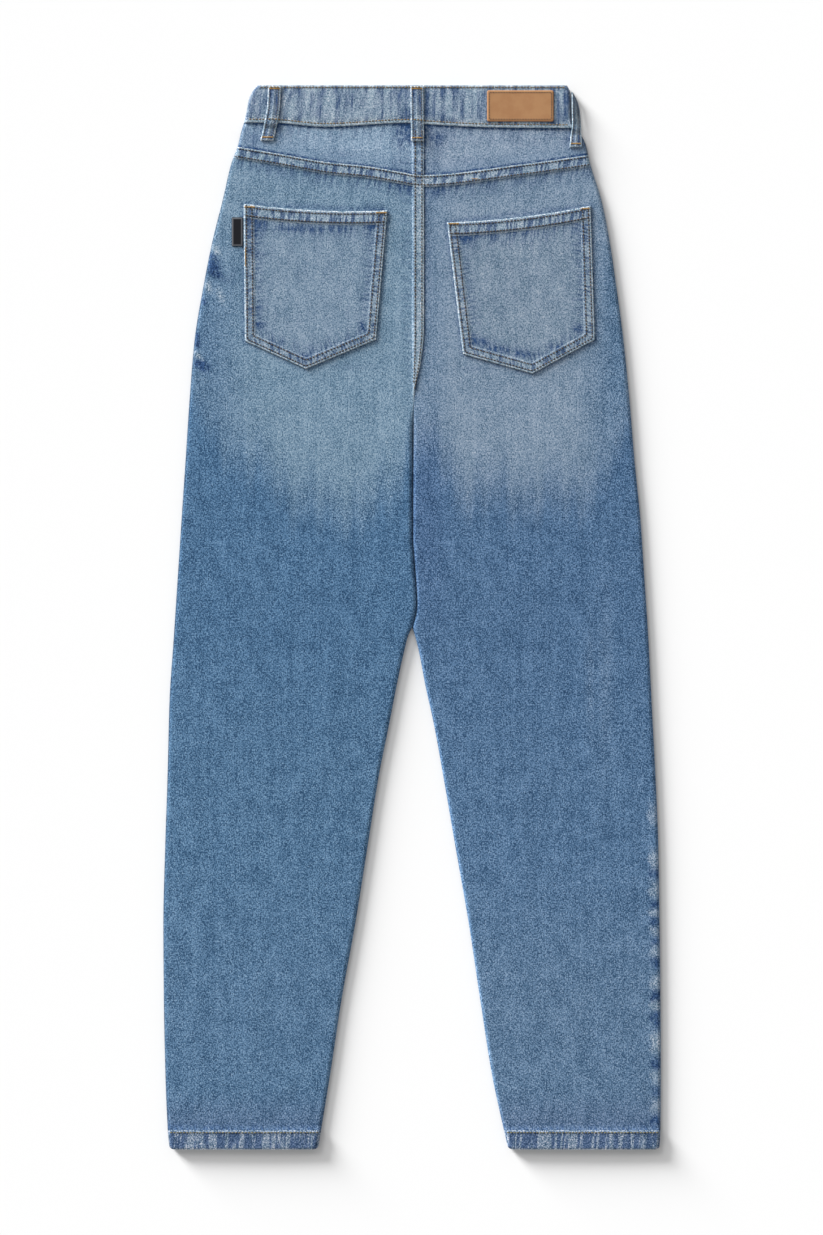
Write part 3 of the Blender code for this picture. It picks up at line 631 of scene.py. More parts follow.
backLook = {
    "gap": 3.3,
    "yokeRows": (0, 0.25, 0.6, 1.1, 2.0, 3.2, 4.6, 6.0, 7.6, 9.0, 9.8, 10.4, 11.0, 11.7, 13.0),
    "hemRows": (19.6, 18.7, 18.1, 17.6, 17.1, 16.6, 15.8, 14, 12, 10, 8, 6, 4, 2.6, 1.6, 0.9, 0.4, 0.0),
    # marks listed one by one: across, down, half width, half height, strength
    "deepSpots": [
        (-172, 184, 4, 16, 0.3), (3, 150, 3, 60, 0.25), (16, 160, 3, 70, 0.3), (-30, 128, 6, 7, 0.8),
        (-36, 116, 10, 3, 0.5), (42, 148, 8, 6, 0.4), (-14, 94, 12, 7, 0.6), (20, 98, 10, 6, 0.5),
        (-60, 270, 20, 3, 0.3), (60, 272, 18, 3, 0.3), (-70, 82, 22, 5, 0.4),
    ],
    "paleSpots": [(186, 560, 7, 70, 0.07), (171, 570, 4, 55, 0.07)],
    # strokes of the wash where the hip is creased: laid out as the creases are; above 0 pale, below 0 deep
    "washStrokes": [
        (-194, 162, -187, 184, 5.0, -1.7), (-197, 176, -175, 190, 2.2, -1.3),
        (-192, 152, -184, 166, 2.5, 0.55), (-198, 187, -194, 200, 3.0, 0.5),
        (-204, 205, -198, 210, 2.5, -1.2), (-208, 236, -206, 254, 2.6, -1.6),
        (-210, 256, -197, 268, 1.9, 0.8), (-210, 264, -194, 273, 4.2, -1.9),
        (-188, 192, -180, 212, 3.0, 0.3),
    ],
    # puckers down the right leg's outer seam: down, half height, strength; above 0 deep, below 0 pale
    "outerPuckers": [
        (701, 9, -0.3), (744, 8, -0.45), (757, 4, 0.7), (773, 7, -0.5), (788, 3.5, 0.85), (795, 3, -0.5),
        (804, 5, 0.6), (813, 4, -0.4), (823, 4, 0.6), (832, 5, -0.4), (843, 5, 0.7), (862, 6, -0.5),
        (875, 5, 0.95), (884, 4, -0.6), (898, 7, 0.8), (920, 8, -0.6), (940, 4.5, 0.85), (953, 6, -0.4),
        (967, 4, 0.6), (981, 6, -0.4), (994, 4.5, 0.9),
    ],
}


def pocketShade(across, down):
    # painted shade beside the pockets' edges
    nearest = np.full(np.shape(across), 99.0)
    for corners in (leftPocketCorners, rightPocketCorners):
        for (x1, y1), (x2, y2) in zip(corners, corners[1:] + corners[:1]):
            share = ((across - x1) * (x2 - x1) + (down - y1) * (y2 - y1)) / ((x2 - x1) ** 2 + (y2 - y1) ** 2)
            share = np.clip(share, 0, 1)
            away = np.hypot(across - x1 - share * (x2 - x1), down - y1 - share * (y2 - y1))
            nearest = np.minimum(nearest, away)
    return wane(0.5, 4.5, nearest)


def backLeg(name, left):
    belowBand, pocketTop = 13.3, 152
    rows = [under(yokeSeam, seamGap + extra) for extra in backLook["yokeRows"]]
    rows += between(under(yokeSeam, belowBand), lambda across: pocketTop, np.arange(1, 22) / 22)
    rows += lines(spaced(pocketTop, length - hem - 4, 3.0)) + lines(length - up for up in backLook["hemRows"])
    edges = (outerLeft, seatLeft) if left else (seatRight, outerRight)
    across, down, nearLow, nearHigh, bend = panelGrid(*edges, backLook["gap"], rows)
    seatDistance, outerDistance = (nearHigh, nearLow) if left else (nearLow, nearHigh)
    belowYoke = down - yokeSeam(across) - seamGap
    cloth, rise = hemShape(down)
    rise = np.maximum(rise, fellProfile(belowYoke))
    seatBand = np.clip(follow(seatSeam, down) - 1.0, 2.2, fell)     # the band narrows into the crotch
    seatShare = wane(288, 304, down)
    if left:
        rise = np.maximum(rise, fellProfile(seatDistance * fell / seatBand) * seatShare)
    outer = mix(cloth + seamRise + seamGap / 2, backTop(across, down, cloth) + rise, bend)
    skin = world(across, down, outer)
    inner = skin - gridNormals(skin) * cloth[..., None] * 0.001

    nearHem = down > hemArea
    belowStitch = down - (length - hem)
    # painted light and shade on the leg's edges: the left leg's outer side, facing the low light, is
    # darkened; the right leg's outer side and the left leg's inner edge, turned from it, are lightened; the
    # right leg's inner edge is lightened lower down; the lit slope above the hem's fold is darkened
    edgeLightAndShade = 1 + (-0.5 if left else 0.4) * wane(0, 2.6, outerDistance)
    edgeLightAndShade = edgeLightAndShade + 0.4 * wane(0, 3.2, seatDistance) * (seatRoll(down) if left else ease(330, 420, down))
    edgeLightAndShade = edgeLightAndShade - 0.28 * bell(belowStitch + 2.0, 2.4)
    strength = np.where(nearHem, np.where(belowStitch < 0.5, 0.45, 0.85) * (belowStitch > -12),
                        0.8 + 0.25 * bell(across, 70))
    bandA = together(np.where(nearHem, hemPlace(belowStitch), belowYoke / fell),
                     across * np.where(nearHem, 0.00115, 0.0013), strength)
    sideT, sideStrength = (seatDistance / seatBand, 0.4 * seatShare * (down > 70)) if left else (3.0, 0.0)
    dragged = nearHem & (belowStitch < -1.5)
    sideT = np.where(dragged, 1.12 - (belowStitch + 1.5) / 6.0, sideT)
    along = np.where(dragged, across * 0.0013 + 0.4, down * 0.001)
    bandB = together(sideT, along, np.where(dragged, 0.85, sideStrength) * (sideT < 3))
    strokes = 1.7 * creased(backLook["washStrokes"], across, down)
    deep = spot(across, down, backLook["deepSpots"]) + 0.6 * pocketShade(across, down) - np.minimum(strokes, 0)
    pale = spot(across, down, backLook["paleSpots"]) + np.maximum(strokes, 0)
    if left:
        pale = pale + 0.65 * wane(0.5, 1.9, seatDistance) * wane(292, 306, down) * (belowYoke > 1)
        pale = pale + 0.35 * (sideT < 0.95) * seatShare * (belowYoke > fell)
    else:
        # painted shadow of the left leg's lapped seat seam on the right leg
        deep = deep + 0.9 * wane(0, 3.0, seatDistance) * seatShare
        for at, tall, amount in backLook["outerPuckers"]:
            weight = 1.7 * amount if amount > 0 else -0.8 * amount
            mark = weight * np.exp(-np.abs((down - at) / tall / 1.15) ** 3)
            mark = mark * wane(7.5, 11.0, outerDistance + 1.5 * np.sin(down / 2.1 + at))
            deep, pale = (deep + mark, pale) if amount > 0 else (deep, pale + mark)
    pale = pale + 0.4 * wane(0.3, 1.6, length - down)
    paint = {"dye": legDye(across, down, left) * edgeLightAndShade[..., None], "worn": together(pale, deep, 0.0),
             "bandA": bandA, "bandB": bandB, "grain": together(across + (110 if left else -110), down)}
    return clothPiece(name, skin, inner, paint, steepShade=0.8)


# Back yokes

yokeLook = {
    "gap": 1.9,
    "dye": {"left": "#89a3bb", "right": "#869bb1", "foot": "#66829f"},
    "loops": [(-134, 9), (5, 13), (158, 9)],      # across, half width
    # the spots at the belt loops are painted shade
    "deepSpots": [(-70, 66, 16, 5, 0.3), (20, 78, 10, 8, 0.35), (-12, 76, 10, 8, 0.35),
                  (60, 74, 20, 5, 0.25), (-152, 54, 10, 8, 0.6), (-10, 50, 8, 14, 0.75),
                  (23, 52, 9, 14, 0.75), (158, 56, 10, 10, 0.4)],
}


def backYoke(name, left):
    rows = between(under(bandSeam, seamGap - 2.5), yokeSeam, np.linspace(0, 1, 34))
    edges = (outerLeft, seatLeft) if left else (seatRight, outerRight)
    across, down, nearLow, nearHigh, bend = panelGrid(*edges, yokeLook["gap"], rows)
    seatDistance = nearHigh if left else nearLow
    belowBand = down - bandSeam(across)
    aboveSeam = yokeSeam(across) - down
    rise = fellProfile(seatDistance) if left else 0.0
    outer = mix(denim + seamRise + seamGap / 2, backTop(across, down) + rise, bend)
    outer = outer - 0.8 * wane(0, 2.0, belowBand + 2.3)
    skin = world(across, down, outer)
    inner = skin - gridNormals(skin) * denim * 0.001
    loops = sum(bell(across - at, wide) for at, wide in yokeLook["loops"])
    # painted shade: a dark line above the yoke seam, one below the waistband's edge, and dark at and below
    # the belt loops
    deep = 1.3 * wane(0.3, 2.8, aboveSeam) + 1.2 * wane(0.6, 3.2, belowBand)
    deep = deep + 0.85 * np.clip(loops, 0, 1) * wane(6, 26, belowBand)
    deep = deep + spot(across, down, yokeLook["deepSpots"])
    paint = {"dye": layers(across, yokeLook["dye"]["left" if left else "right"],
                           (ease(0.45, 1.0, 1 - aboveSeam / 40.0) * 0.5, yokeLook["dye"]["foot"])),
             "bandA": together(1.04 + belowBand / 14, across * 0.001, 0.5),
             "grain": together(across + 37, down)}
    if left:
        paint["bandB"] = together(seatDistance / fell, down * 0.001, 0.4)
    else:
        # painted shadow of the left yoke's lapped seat seam
        deep = deep + 0.9 * wane(0, 3.0, seatDistance)
    paint["worn"] = together(0.0, deep, 0.05)
    return clothPiece(name, skin, inner, paint)


backLegs = {"left": backLeg("back_leg_left", True), "right": backLeg("back_leg_right", False)}
backYokes = {"left": backYoke("back_yoke_left", True), "right": backYoke("back_yoke_right", False)}
print("backs made")


# Fronts, face down on the floor

flyShape = {"width": 36.0, "end": 190.0, "turn": 38.0}
mouthShape = {"in": 92.0, "out": 165.0, "depth": 78.0}
frontLook = {
    "gap": 3.4,
    "reach": [0, 0.25, 0.6, 1.2, 2.2, 3.5],
    "flyReach": [0, 0.4, 1.0, 2.0],
    "facingFrom": 100.0,
    "turnRows": (38, 34, 29, 24, 20, 16, 12, 9, 6.5, 4.5, 2.5, 1.2, 0.6),
    "hemRows": (19.6, 18.4, 17.0, 15, 12, 9, 6, 3.5, 1.6, 0.7, 0.0),
}


def scoop(across):
    share = np.clip((np.abs(across) - mouthShape["in"]) / (mouthShape["out"] - mouthShape["in"]), 0, 1)
    fall = (1 - np.sqrt(1 - 0.9 * share * share)) / (1 - 0.1 ** 0.5)
    return bandSeam(across) + seamGap + mouthShape["depth"] * fall


def flyEdge(down):
    turn = np.clip((down - flyShape["end"] + flyShape["turn"]) / flyShape["turn"], 0, 1)
    return flyShape["width"] * np.sqrt(1 - turn * turn)


def frontPiece(name, edges, rows, gap=frontLook["gap"], keep=None):
    across, down, _, _, bend = panelGrid(*edges, gap, rows)
    if keep:
        outside = np.abs(across[0]) > keep
        across, down, bend = across[:, outside], down[:, outside], bend[:, outside]
    cloth, rise = hemShape(down)
    whisker = creased(frontCreases, across, down)
    lift = np.maximum(-whisker, 0.0) * 0.6 + np.maximum(-rise, 0) * 0.6
    skin = world(across, down, mix(cloth + seamRise - seamGap / 2, lift, bend))[:, ::-1]
    inner = skin - gridNormals(skin) * cloth[:, ::-1, None] * 0.001
    nearHem = down > hemArea
    belowStitch = down - (length - hem)
    strength = np.where(nearHem, np.where(belowStitch < 0.5, 0.3, 0.85) * (belowStitch > -12),
                        0.7 * (np.abs(across) > 90))
    deep = 0.35 * wane(0, 8, np.abs(across)) * wane(crotch, crotch + 30, down)
    deep = deep - np.minimum(whisker, 0) * 0.5
    pale = np.maximum(whisker, 0) * 0.5 + 0.75 * wane(0.3, 1.6, length - down)
    bandT = np.where(nearHem, hemPlace(belowStitch), (down - scoop(across)) / 8.0)
    paint = {"dye": legDye(across, down, np.mean(across) < 0), "worn": together(pale, deep, 0.0),
             "bandA": together(bandT, across * 0.0013, strength), "grain": together(across, down)}
    paint = {key: values[:, ::-1] for key, values in paint.items()}
    return clothPiece(name, skin, inner, paint, side="front")


def leftFlySide(down):
    inner = np.where(down < crotch, -seamGap / 2, leftInseam(down))
    return np.where(down < flyShape["end"], np.minimum(inner, -flyEdge(down) - seamGap), inner)


def rightFrontSide(down):
    return np.where(down < crotch, seamGap / 2, rightInseam(down))


leftEdges = (outerLeft, (leftFlySide, frontLook["reach"], frontRoll))
rightEdges = ((rightFrontSide, frontLook["reach"], frontRoll), outerRight)
flyEdges = ((lambda down: -flyEdge(down), frontLook["flyReach"], never),
            (lambda down: 0 * down - seamGap / 2, frontLook["flyReach"], never))
turnRows = lines(flyShape["end"] - up for up in frontLook["turnRows"])
flyTop = flyShape["end"] - flyShape["turn"]
frontRows = between(scoop, lambda across: flyTop, np.arange(0, 15) / 15) + turnRows
frontRows += lines(flyShape["end"] + below for below in (0, 0.5, 3))
frontRows += lines(spaced(flyShape["end"] + 8, length - hem - 4, 6.0))
frontRows += lines(length - up for up in frontLook["hemRows"])
facingRows = between(under(bandSeam, seamGap), under(scoop, -seamGap), np.linspace(0, 1, 22))
flyRows = between(under(bandSeam, seamGap), lambda across: flyTop, np.arange(0, 40) / 40) + turnRows
leftFront = frontPiece("front_leg_left", leftEdges, frontRows)
rightFront = frontPiece("front_leg_right", rightEdges, frontRows)
leftFacing = frontPiece("front_pocket_left", leftEdges, facingRows, keep=frontLook["facingFrom"])
rightFacing = frontPiece("front_pocket_right", rightEdges, facingRows, keep=frontLook["facingFrom"])
flyPiece = frontPiece("fly", flyEdges, flyRows, 14.0)
print("fronts made")


# Waistband: one strip from the centre front round the left side and back to it

bandLook = {
    "dye": "#8499ad", "shadeBesideLoops": "#5f7a97",
    "loops": [(-133, 10), (5, 13), (157, 8)],      # across, half width
    "patch": (62, 146),
    "deepSpots": [(146, 18, 6, 18, 0.5), (-116, 6, 9, 5, 0.5), (-60, 8, 12, 5, 0.35), (28, 8, 8, 6, 0.4),
                  (52, 26, 7, 8, 0.3), (-96, 28, 10, 6, 0.35)],
    "paleSpots": [(-110, 22, 16, 7, 1.0), (-70, 30, 20, 5, 1.0), (-40, 14, 14, 6, 0.9), (40, 20, 14, 8, 0.8),
                  (-95, 12, 12, 4, 0.8)],
}
buttonLook = {
    "at": (-12.0, 19.0), "radius": 8.5, "steps": 64,
    # radius and height from the face: head flush with the surface below, a rim and one plain ring
    "rings": [(0.0, 0.55), (2.2, 0.5), (3.0, 0.2), (3.8, 0.45), (5.6, 0.5), (6.6, 0.12), (7.6, 0.02),
              (8.2, 0.2), (8.5, 0.6), (8.2, 1.1), (0.0, 1.2)],
}


def waistband():
    front = np.array(spaced(seamGap / 2, 150.0, 1.7))
    turns = np.linspace(-90, 90, 15)
    runs = [("front", -front), ("left", turns), ("back", np.arange(1, 170) / 170), ("right", turns[::-1]),
            ("front", front[::-1])]
    kind = np.concatenate([[name] * len(values) for name, values in runs])
    at = np.concatenate([values for _, values in runs])
    fromTop = [0, 0.25, 0.7, 1.3, 2.2] + spaced(3.4, 31.0, 1.5)
    inset = np.array(fromTop + [4.2, 3.0, 2.0, 1.2, 0.6, 0.25, 0.0])[:, None]
    lower = np.arange(len(inset))[:, None] >= len(fromTop)
    across = np.zeros((len(inset), len(kind)))
    for _ in range(12):
        seam = bandSeam(across)
        down = np.where(lower, seam - inset, inset * (seam - 4.2) / 35.0)
        low, high = leftSide(down), rightSide(down)
        turned = roll * (1 - np.cos(np.radians(at)))
        across = np.select([kind == "front", kind == "left", kind == "right"],
                           [np.clip(at, low + roll, high - roll), low + turned, high - turned],
                           mix(low + roll, high - roll, at))
    above = bandSeam(across) - down
    edge = np.minimum(down, above)
    soften = 0.35 * wane(0, 1.2, edge)
    puckers = 0.16 * np.sin(across / 1.9 + 2.2 * np.sin(across / 13.0)) * bell(edge - 1.5, 3.0)
    upper = bandTop(across, down)
    turnLift = np.sin(np.radians(np.where((kind == "left") | (kind == "right"), at, 0.0)))
    sideHeight = upper / 2 + (upper / 2 - soften * (turnLift > 0)) * turnLift
    pressed = wane(loopWidth / 2 + 0.3, loopWidth / 2 + 1.6, np.abs(np.abs(across) - frontLoopAt))
    button = np.hypot(across - buttonLook["at"][0], down - buttonLook["at"][1]) - buttonLook["radius"]
    dent = np.maximum(pressed, wane(0.3, 2.0, button))
    stitched = 0.22 * bell(edge - 2.8, 0.7)
    height = np.select([kind == "front", kind == "back"],
                       [recess * dent + soften * 0.4, upper - soften - stitched + puckers], sideHeight)
    skin = world(across, down, height)
    cloth = mix(bandCloth, 1.4, np.where(kind == "front", dent, 0.0))
    inner = skin - gridNormals(skin) * cloth[..., None] * 0.001
    inner[..., 1] = np.minimum(inner[..., 1], skin[..., 1].max())
    run = np.concatenate([[0], np.cumsum(np.linalg.norm(np.diff(skin[10], axis=0), axis=1))]) * 1000
    behind = kind != "front"
    # painted shade beside the belt loops: deeper dye and more deep paint there
    loops = sum(bell(across - x, wide) for x, wide in bandLook["loops"]) * behind
    loops = np.clip(loops + bell(np.abs(across) - frontLoopAt, 9) * ~behind, 0, 1)
    patch = (across > bandLook["patch"][0]) & (across < bandLook["patch"][1])
    spots = 0.5 * wane(-152, -140, across) + 0.5 * patch * wane(0, 6, down)
    spots = spots + spot(across, down, bandLook["deepSpots"])
    pale = 1.3 * wane(1.2, 2.4, above) + 0.35 * wane(0.2, 1.6, down)
    pale = pale + 0.15 * spot(across, down, bandLook["paleSpots"])
    along = np.where(kind == "back", across + 500, run)
    paint = {"dye": layers(across, bandLook["dye"], (ease(0, 0.4, loops) * 0.4, bandLook["shadeBesideLoops"])),
             "worn": together(pale, 0.75 * loops + spots * behind, 0.4),
             "bandA": together(0.5, along * 0.001, 0.8 * wane(3, 10, edge)),
             "bandB": together(0.5 + 0.008 * down, along * 0.0007, 0.4),
             "grain": together(run, down)}
    return clothPiece("waistband", skin, inner, paint)


band = waistband()
print("waistband made")


# Back pockets

pocketLook = {
    "upperWidth": 138.0, "lowerWidth": 127.0, "sag": 3.2, "footLean": 0.92,
    "mouthBand": 12.4, "edgeBand": 9.4,
    "edgeRows": [0, 0.25, 0.6, 1.1, 1.8, 2.8, 4.0, 5.4, 6.8, 8.0, 8.8, 9.5],
    "mouthRows": [0, 0.25, 0.6, 1.1, 2.0, 3.4, 5.0, 6.6, 8.2, 9.6, 10.6, 11.3, 12.0, 12.8],
    "besideEdges": "#6b8299",
    "left": {"dye": "#7a92a8",
             "marks": [(-153, 132, 8, 7, 1.0), (-154, 151, 5, 7, 0.6), (-151, 162, 9, 4, 0.55),
                       (-153, 215, 7, 6, 0.6), (-147, 230, 6, 3, 0.8), (-35, 134, 9, 3.5, 1.0),
                       (-80, 139, 26, 3, 0.35), (-120, 138, 16, 3, 0.4), (-47, 232, 4, 6, 0.7),
                       (-100, 260, 22, 4, 0.5), (-130, 248, 10, 4, 0.4), (-70, 252, 12, 4, 0.4)]},
    "right": {"dye": "#7c91a5",
              "marks": [(46, 147, 10, 3.2, 1.0), (66, 144, 12, 3, 0.55), (100, 141, 20, 3, 0.3),
                        (165, 142, 4, 12, 0.5), (160, 126, 9, 3, 0.5), (159, 234, 4.5, 4.5, 0.9),
                        (59, 246, 11, 4.5, 1.0), (84, 254, 15, 3, 0.7), (108, 258, 14, 3, 0.5),
                        (140, 252, 10, 4, 0.45)]},
}


def pocketPoint(corners, u, v):
    topLeft, topRight, bottomRight, tip, bottomLeft = [np.array(corner) for corner in corners]
    tipShare = (tip[0] - bottomLeft[0]) / (bottomRight[0] - bottomLeft[0])
    u, v = np.broadcast_arrays(u, v)
    upper = mix(topLeft, topRight, u[..., None]) + together(0 * u, 4 * pocketLook["sag"] * u * (1 - u))
    leftPart = mix(bottomLeft, tip, np.clip(u / tipShare, 0, 1)[..., None])
    rightPart = mix(tip, bottomRight, np.clip((u - tipShare) / (1 - tipShare), 0, 1)[..., None])
    lower = np.where((u <= tipShare)[..., None], leftPart, rightPart)
    return mix(upper, lower, v[..., None]), np.linalg.norm(lower - upper, axis=-1), tipShare


def backPocket(name, corners, look):
    tipShare = pocketPoint(corners, 0.5, 0.5)[2]
    near, tops = [np.array(pocketLook[key]) / pocketLook["upperWidth"] for key in ("edgeRows", "mouthRows")]
    us = np.concatenate([near, np.linspace(near[-1], tipShare, 46)[1:],
                         np.linspace(tipShare, 1 - near[-1], 46)[1:], (1 - near[::-1])[1:]])
    vs = np.concatenate([tops, np.linspace(tops[-1], 1 - near[-1], 84)[1:], (1 - near[::-1])[1:]])
    u, v = np.meshgrid(us, vs)
    points, long, _ = pocketPoint(corners, u, v)
    across, down = points[..., 0], points[..., 1]
    side = np.minimum(u, 1 - u) * mix(pocketLook["upperWidth"], pocketLook["lowerWidth"], v)
    fromTop, fromFoot = v * long, (1 - v) * long * pocketLook["footLean"]
    inward = np.minimum(side, fromFoot)
    rim = np.minimum(inward, fromTop)
    hemmed = 0.7 * ease(0, 0.7, fromTop) * wane(11.0, 12.6, fromTop)
    turned = 0.4 * wane(8.4, 9.8, inward)
    rise = np.maximum(hemmed, turned) - 0.55 * wane(0, 0.6, rim)
    rise = rise - 0.12 * (bell(inward - 2.4, 0.5) + bell(inward - 7.8, 0.5))
    bottom = backTop(across, down) + 0.2
    along = np.where(side < fromFoot, down * 0.0014 + 0.3 * (u > 0.5), across * 0.0014)
    edgeT = inward / pocketLook["edgeBand"]
    lean = (corners[3][0] - (corners[0][0] + corners[1][0]) / 2) / 155
    paint = {"dye": layers(across, look["dye"], (0.35 * wane(0, 26, inward), pocketLook["besideEdges"])),
             "worn": together(wane(0.5, 1.9, rim), 1.3 * spot(across, down, look["marks"]), 0.1),
             "bandA": together(fromTop / pocketLook["mouthBand"], across * 0.0017, 0.85 * (fromTop < 60)),
             "bandB": together(edgeT, along, 0.7 * (edgeT < 3) * ease(9, 16, fromTop)),
             "grain": together(across - lean * down + 500, down)}
    return clothPiece(name, world(across, down, bottom + 0.95 + rise), world(across, down, bottom), paint)


leftPocket = backPocket("back_pocket_left", leftPocketCorners, pocketLook["left"])
rightPocket = backPocket("back_pocket_right", rightPocketCorners, pocketLook["right"])
print("pockets made")


# Belt loops

# down, left edge, right edge, drop of the right edge where the loop wraps the side
leftLoop = [(1.0, -138.2, -125.7, 0.0), (20.0, -139.2, -126.7, 0.0), (33.0, -141.2, -128.6, 0.0),
            (44.0, -143.6, -131.0, 0.0), (53.0, -145.9, -132.8, 0.0)]
centreLoop = [(1.0, -1.6, 10.9, 0.0), (20.0, -1.4, 11.1, 0.0), (34.0, -1.2, 11.3, 0.0),
              (44.0, -1.0, 11.5, 0.0), (53.8, -1.0, 11.6, 0.0)]
rightLoop = [(6.7, 153.1, 153.6, 4.6), (14.4, 153.3, 158.3, 4.9), (24.0, 153.4, 160.9, 4.9),
             (34.0, 153.6, 161.8, 4.5), (41.0, 153.4, 162.2, 2.2), (46.0, 152.6, 162.6, 0.9),
             (53.0, 151.8, 163.2, 0.2), (59.5, 151.2, 163.4, 0.0)]
loopLook = {
    "dye": "#71859a", "sideDye": "#8294a5",
    "shares": np.array([0, 0.03, 0.08, 0.14, 0.2, 0.28, 0.38, 0.46, 0.5, 0.54, 0.62, 0.72, 0.8, 0.86, 0.92,
                        0.97, 1]),
    "frontShares": np.array([1, 0.94, 0.84, 0.7, 0.4, 0, -0.4, -0.7, -0.84, -0.94, -1]),
    "frontTop": 2.0, "frontFoot": 34.0,
}


def restHeight(across, down):
    low, high = leftSide(down) + roll, rightSide(down) - roll
    across = np.clip(across, low, high)
    onBand = bandTop(across, np.minimum(down, bandSeam(across)))
    onYoke = backTop(across, down) + (fellRise if abs(float(np.mean(across)) - 5.0) < 14 else 0.0)
    fall = ease(bandSeam(across) + 0.5, bandSeam(across) + 6.0, down)
    return mix(onBand, onYoke, fall) + seamGap


def loopEdges(table, down):
    return [float(follow(table, down, column)) for column in (1, 2, 3)]


def beltLoop(name, table, deepEnds, dye):
    first, last = table[0][0], table[-1][0]
    downs = [first, first + 0.3, first + 0.8] + spaced(first + 1.8, last - 1.8, 1.0)
    downs += [last - 0.8, last - 0.3, last]
    shares = loopLook["shares"]
    edge = np.minimum(shares, 1 - shares) * loopWidth
    shape = -0.5 * wane(0, 0.7, edge) + 0.35 * bell(shares - 0.5, 0.09) - 0.2 * bell(edge - 2.1, 0.7)
    outer, inner = [], []
    for down in downs:
        low, high, drop = loopEdges(table, down)
        if drop < 1e-6:
            height = max(float(restHeight(mix(low, high, k / 4), down)) for k in range(5))
        else:
            height = float(restHeight(low, down))
        start, end = np.array([low, height]), np.array([high, height - drop])
        out = np.array([start[1] - end[1], end[0] - start[0]])
        out = out / np.linalg.norm(out)
        ends = 0.5 * wane(0, 0.9, min(down - first, last - down))
        base = mix(start, end, shares[:, None])
        top = base + out * (loopCloth + np.maximum(shape - ends, -0.9))[:, None]
        outer.append(world(top[:, 0], down, top[:, 1]))
        inner.append(world(base[:, 0], down, base[:, 1]))
    u, down = np.meshgrid(shares, downs)
    edge = np.minimum(u, 1 - u) * loopWidth
    fromEnd = np.minimum(down - first, last - down)
    pale = wane(0.4, 1.8, edge) + 0.4 * bell(u - 0.5, 0.1) + 0.9 * wane(0.5, 1.8, fromEnd)
    deep = 0.5 * bell(edge - 3.2, 1.2) + deepEnds * wane(3, 9, fromEnd)
    paint = {"dye": linear(dye), "worn": together(pale, deep, 0.5),
             "grain": together(u * loopWidth + 90, down)}
    return clothPiece(name, np.array(outer), np.array(inner), paint)


def frontLoop(name, middle):
    top, foot = loopLook["frontTop"], loopLook["frontFoot"]
    downs = [top, top + 0.3, top + 1.0] + spaced(top + 2.0, foot - 2.0, 1.6) + [foot - 1.0, foot - 0.3, foot]
    u, down = np.meshgrid(middle + loopWidth / 2 * loopLook["frontShares"], downs)
    edge = np.minimum(loopWidth / 2 - np.abs(u - middle), np.minimum(down - top, foot - down))
    paint = {"dye": linear(loopLook["dye"]), "worn": together(0.85 * wane(0.2, 1.5, edge), 0.0, 0.5),
             "grain": together(u + 90, down)}
    lift = 0.4 * wane(0, 0.9, edge)
    return clothPiece(name, world(u, down, lift), world(u, down, recess - seamGap), paint,
                      side="front")


loops = [beltLoop("belt_loop_back_left", leftLoop, 0.2, loopLook["dye"]),
         beltLoop("belt_loop_back_centre", centreLoop, 0.2, loopLook["dye"]),
         beltLoop("belt_loop_back_right", rightLoop, 0.1, loopLook["sideDye"]),
         frontLoop("belt_loop_front_left", -frontLoopAt), frontLoop("belt_loop_front_right", frontLoopAt)]
print("belt loops made")


# Leather patch, side tab, button

patchLook = {"box": (72.0, 136.0, 5.0, 35.0), "cloth": 1.0, "corner": 1.6, "gap": 1.4, "wave": 0.09}
tabLook = {"box": (-173.3, -162.5, 126.7, 154.6), "cloth": 0.7, "corner": 0.8, "gap": 0.5, "wave": 0.0}


def flatPiece(name, look, bottom, paint, material):
    left, right, upper, lower = look["box"]
    near = [0, 0.15, 0.4, 0.8, 1.4, 2.2]
    us, vs = [np.array(near[:-1] + spaced(2.2, span - 2.2, look["gap"]) + [span - n for n in near[-2::-1]])
              for span in (right - left, lower - upper)]
    u, v = np.meshgrid(us, vs)
    toSide, toEnd = np.minimum(u, us[-1] - u), np.minimum(v, vs[-1] - v)
    # round the corners by drawing the outer cells in
    corner = look["corner"]
    pull = 0.3 * corner * np.clip(1 - toSide / corner, 0, 1) * np.clip(1 - toEnd / corner, 0, 1)
    across = left + u + pull * np.sign(us[-1] / 2 - u)
    down = upper + v + pull * np.sign(vs[-1] / 2 - v)
    edge = np.minimum(toSide, toEnd)
    base = bottom(across, down) + seamGap
    height = base + look["cloth"] * (1 - 0.4 * wane(0, 0.8, edge)) + look["wave"] * np.sin(across / 9.0)
    paint = {**paint(edge), "grain": together(across, down)}
    return clothPiece(name, world(across, down, height), world(across, down, base), paint, material)


def tabPaint(edge):
    rim = bell(edge - 1.0, 0.35)
    return {"worn": together(rim, rim, rim)}


patch = flatPiece("leather_patch", patchLook, bandTop, lambda edge: {}, tanLeather)
tab = flatPiece("side_tab", tabLook, backTop, tabPaint, wovenTape)


def ringFaces(first, rings, steps):
    return [(first + ring * steps + k, first + ring * steps + (k + 1) % steps,
             first + (ring + 1) * steps + (k + 1) % steps, first + (ring + 1) * steps + k)
            for ring in range(rings - 1) for k in range(steps)]


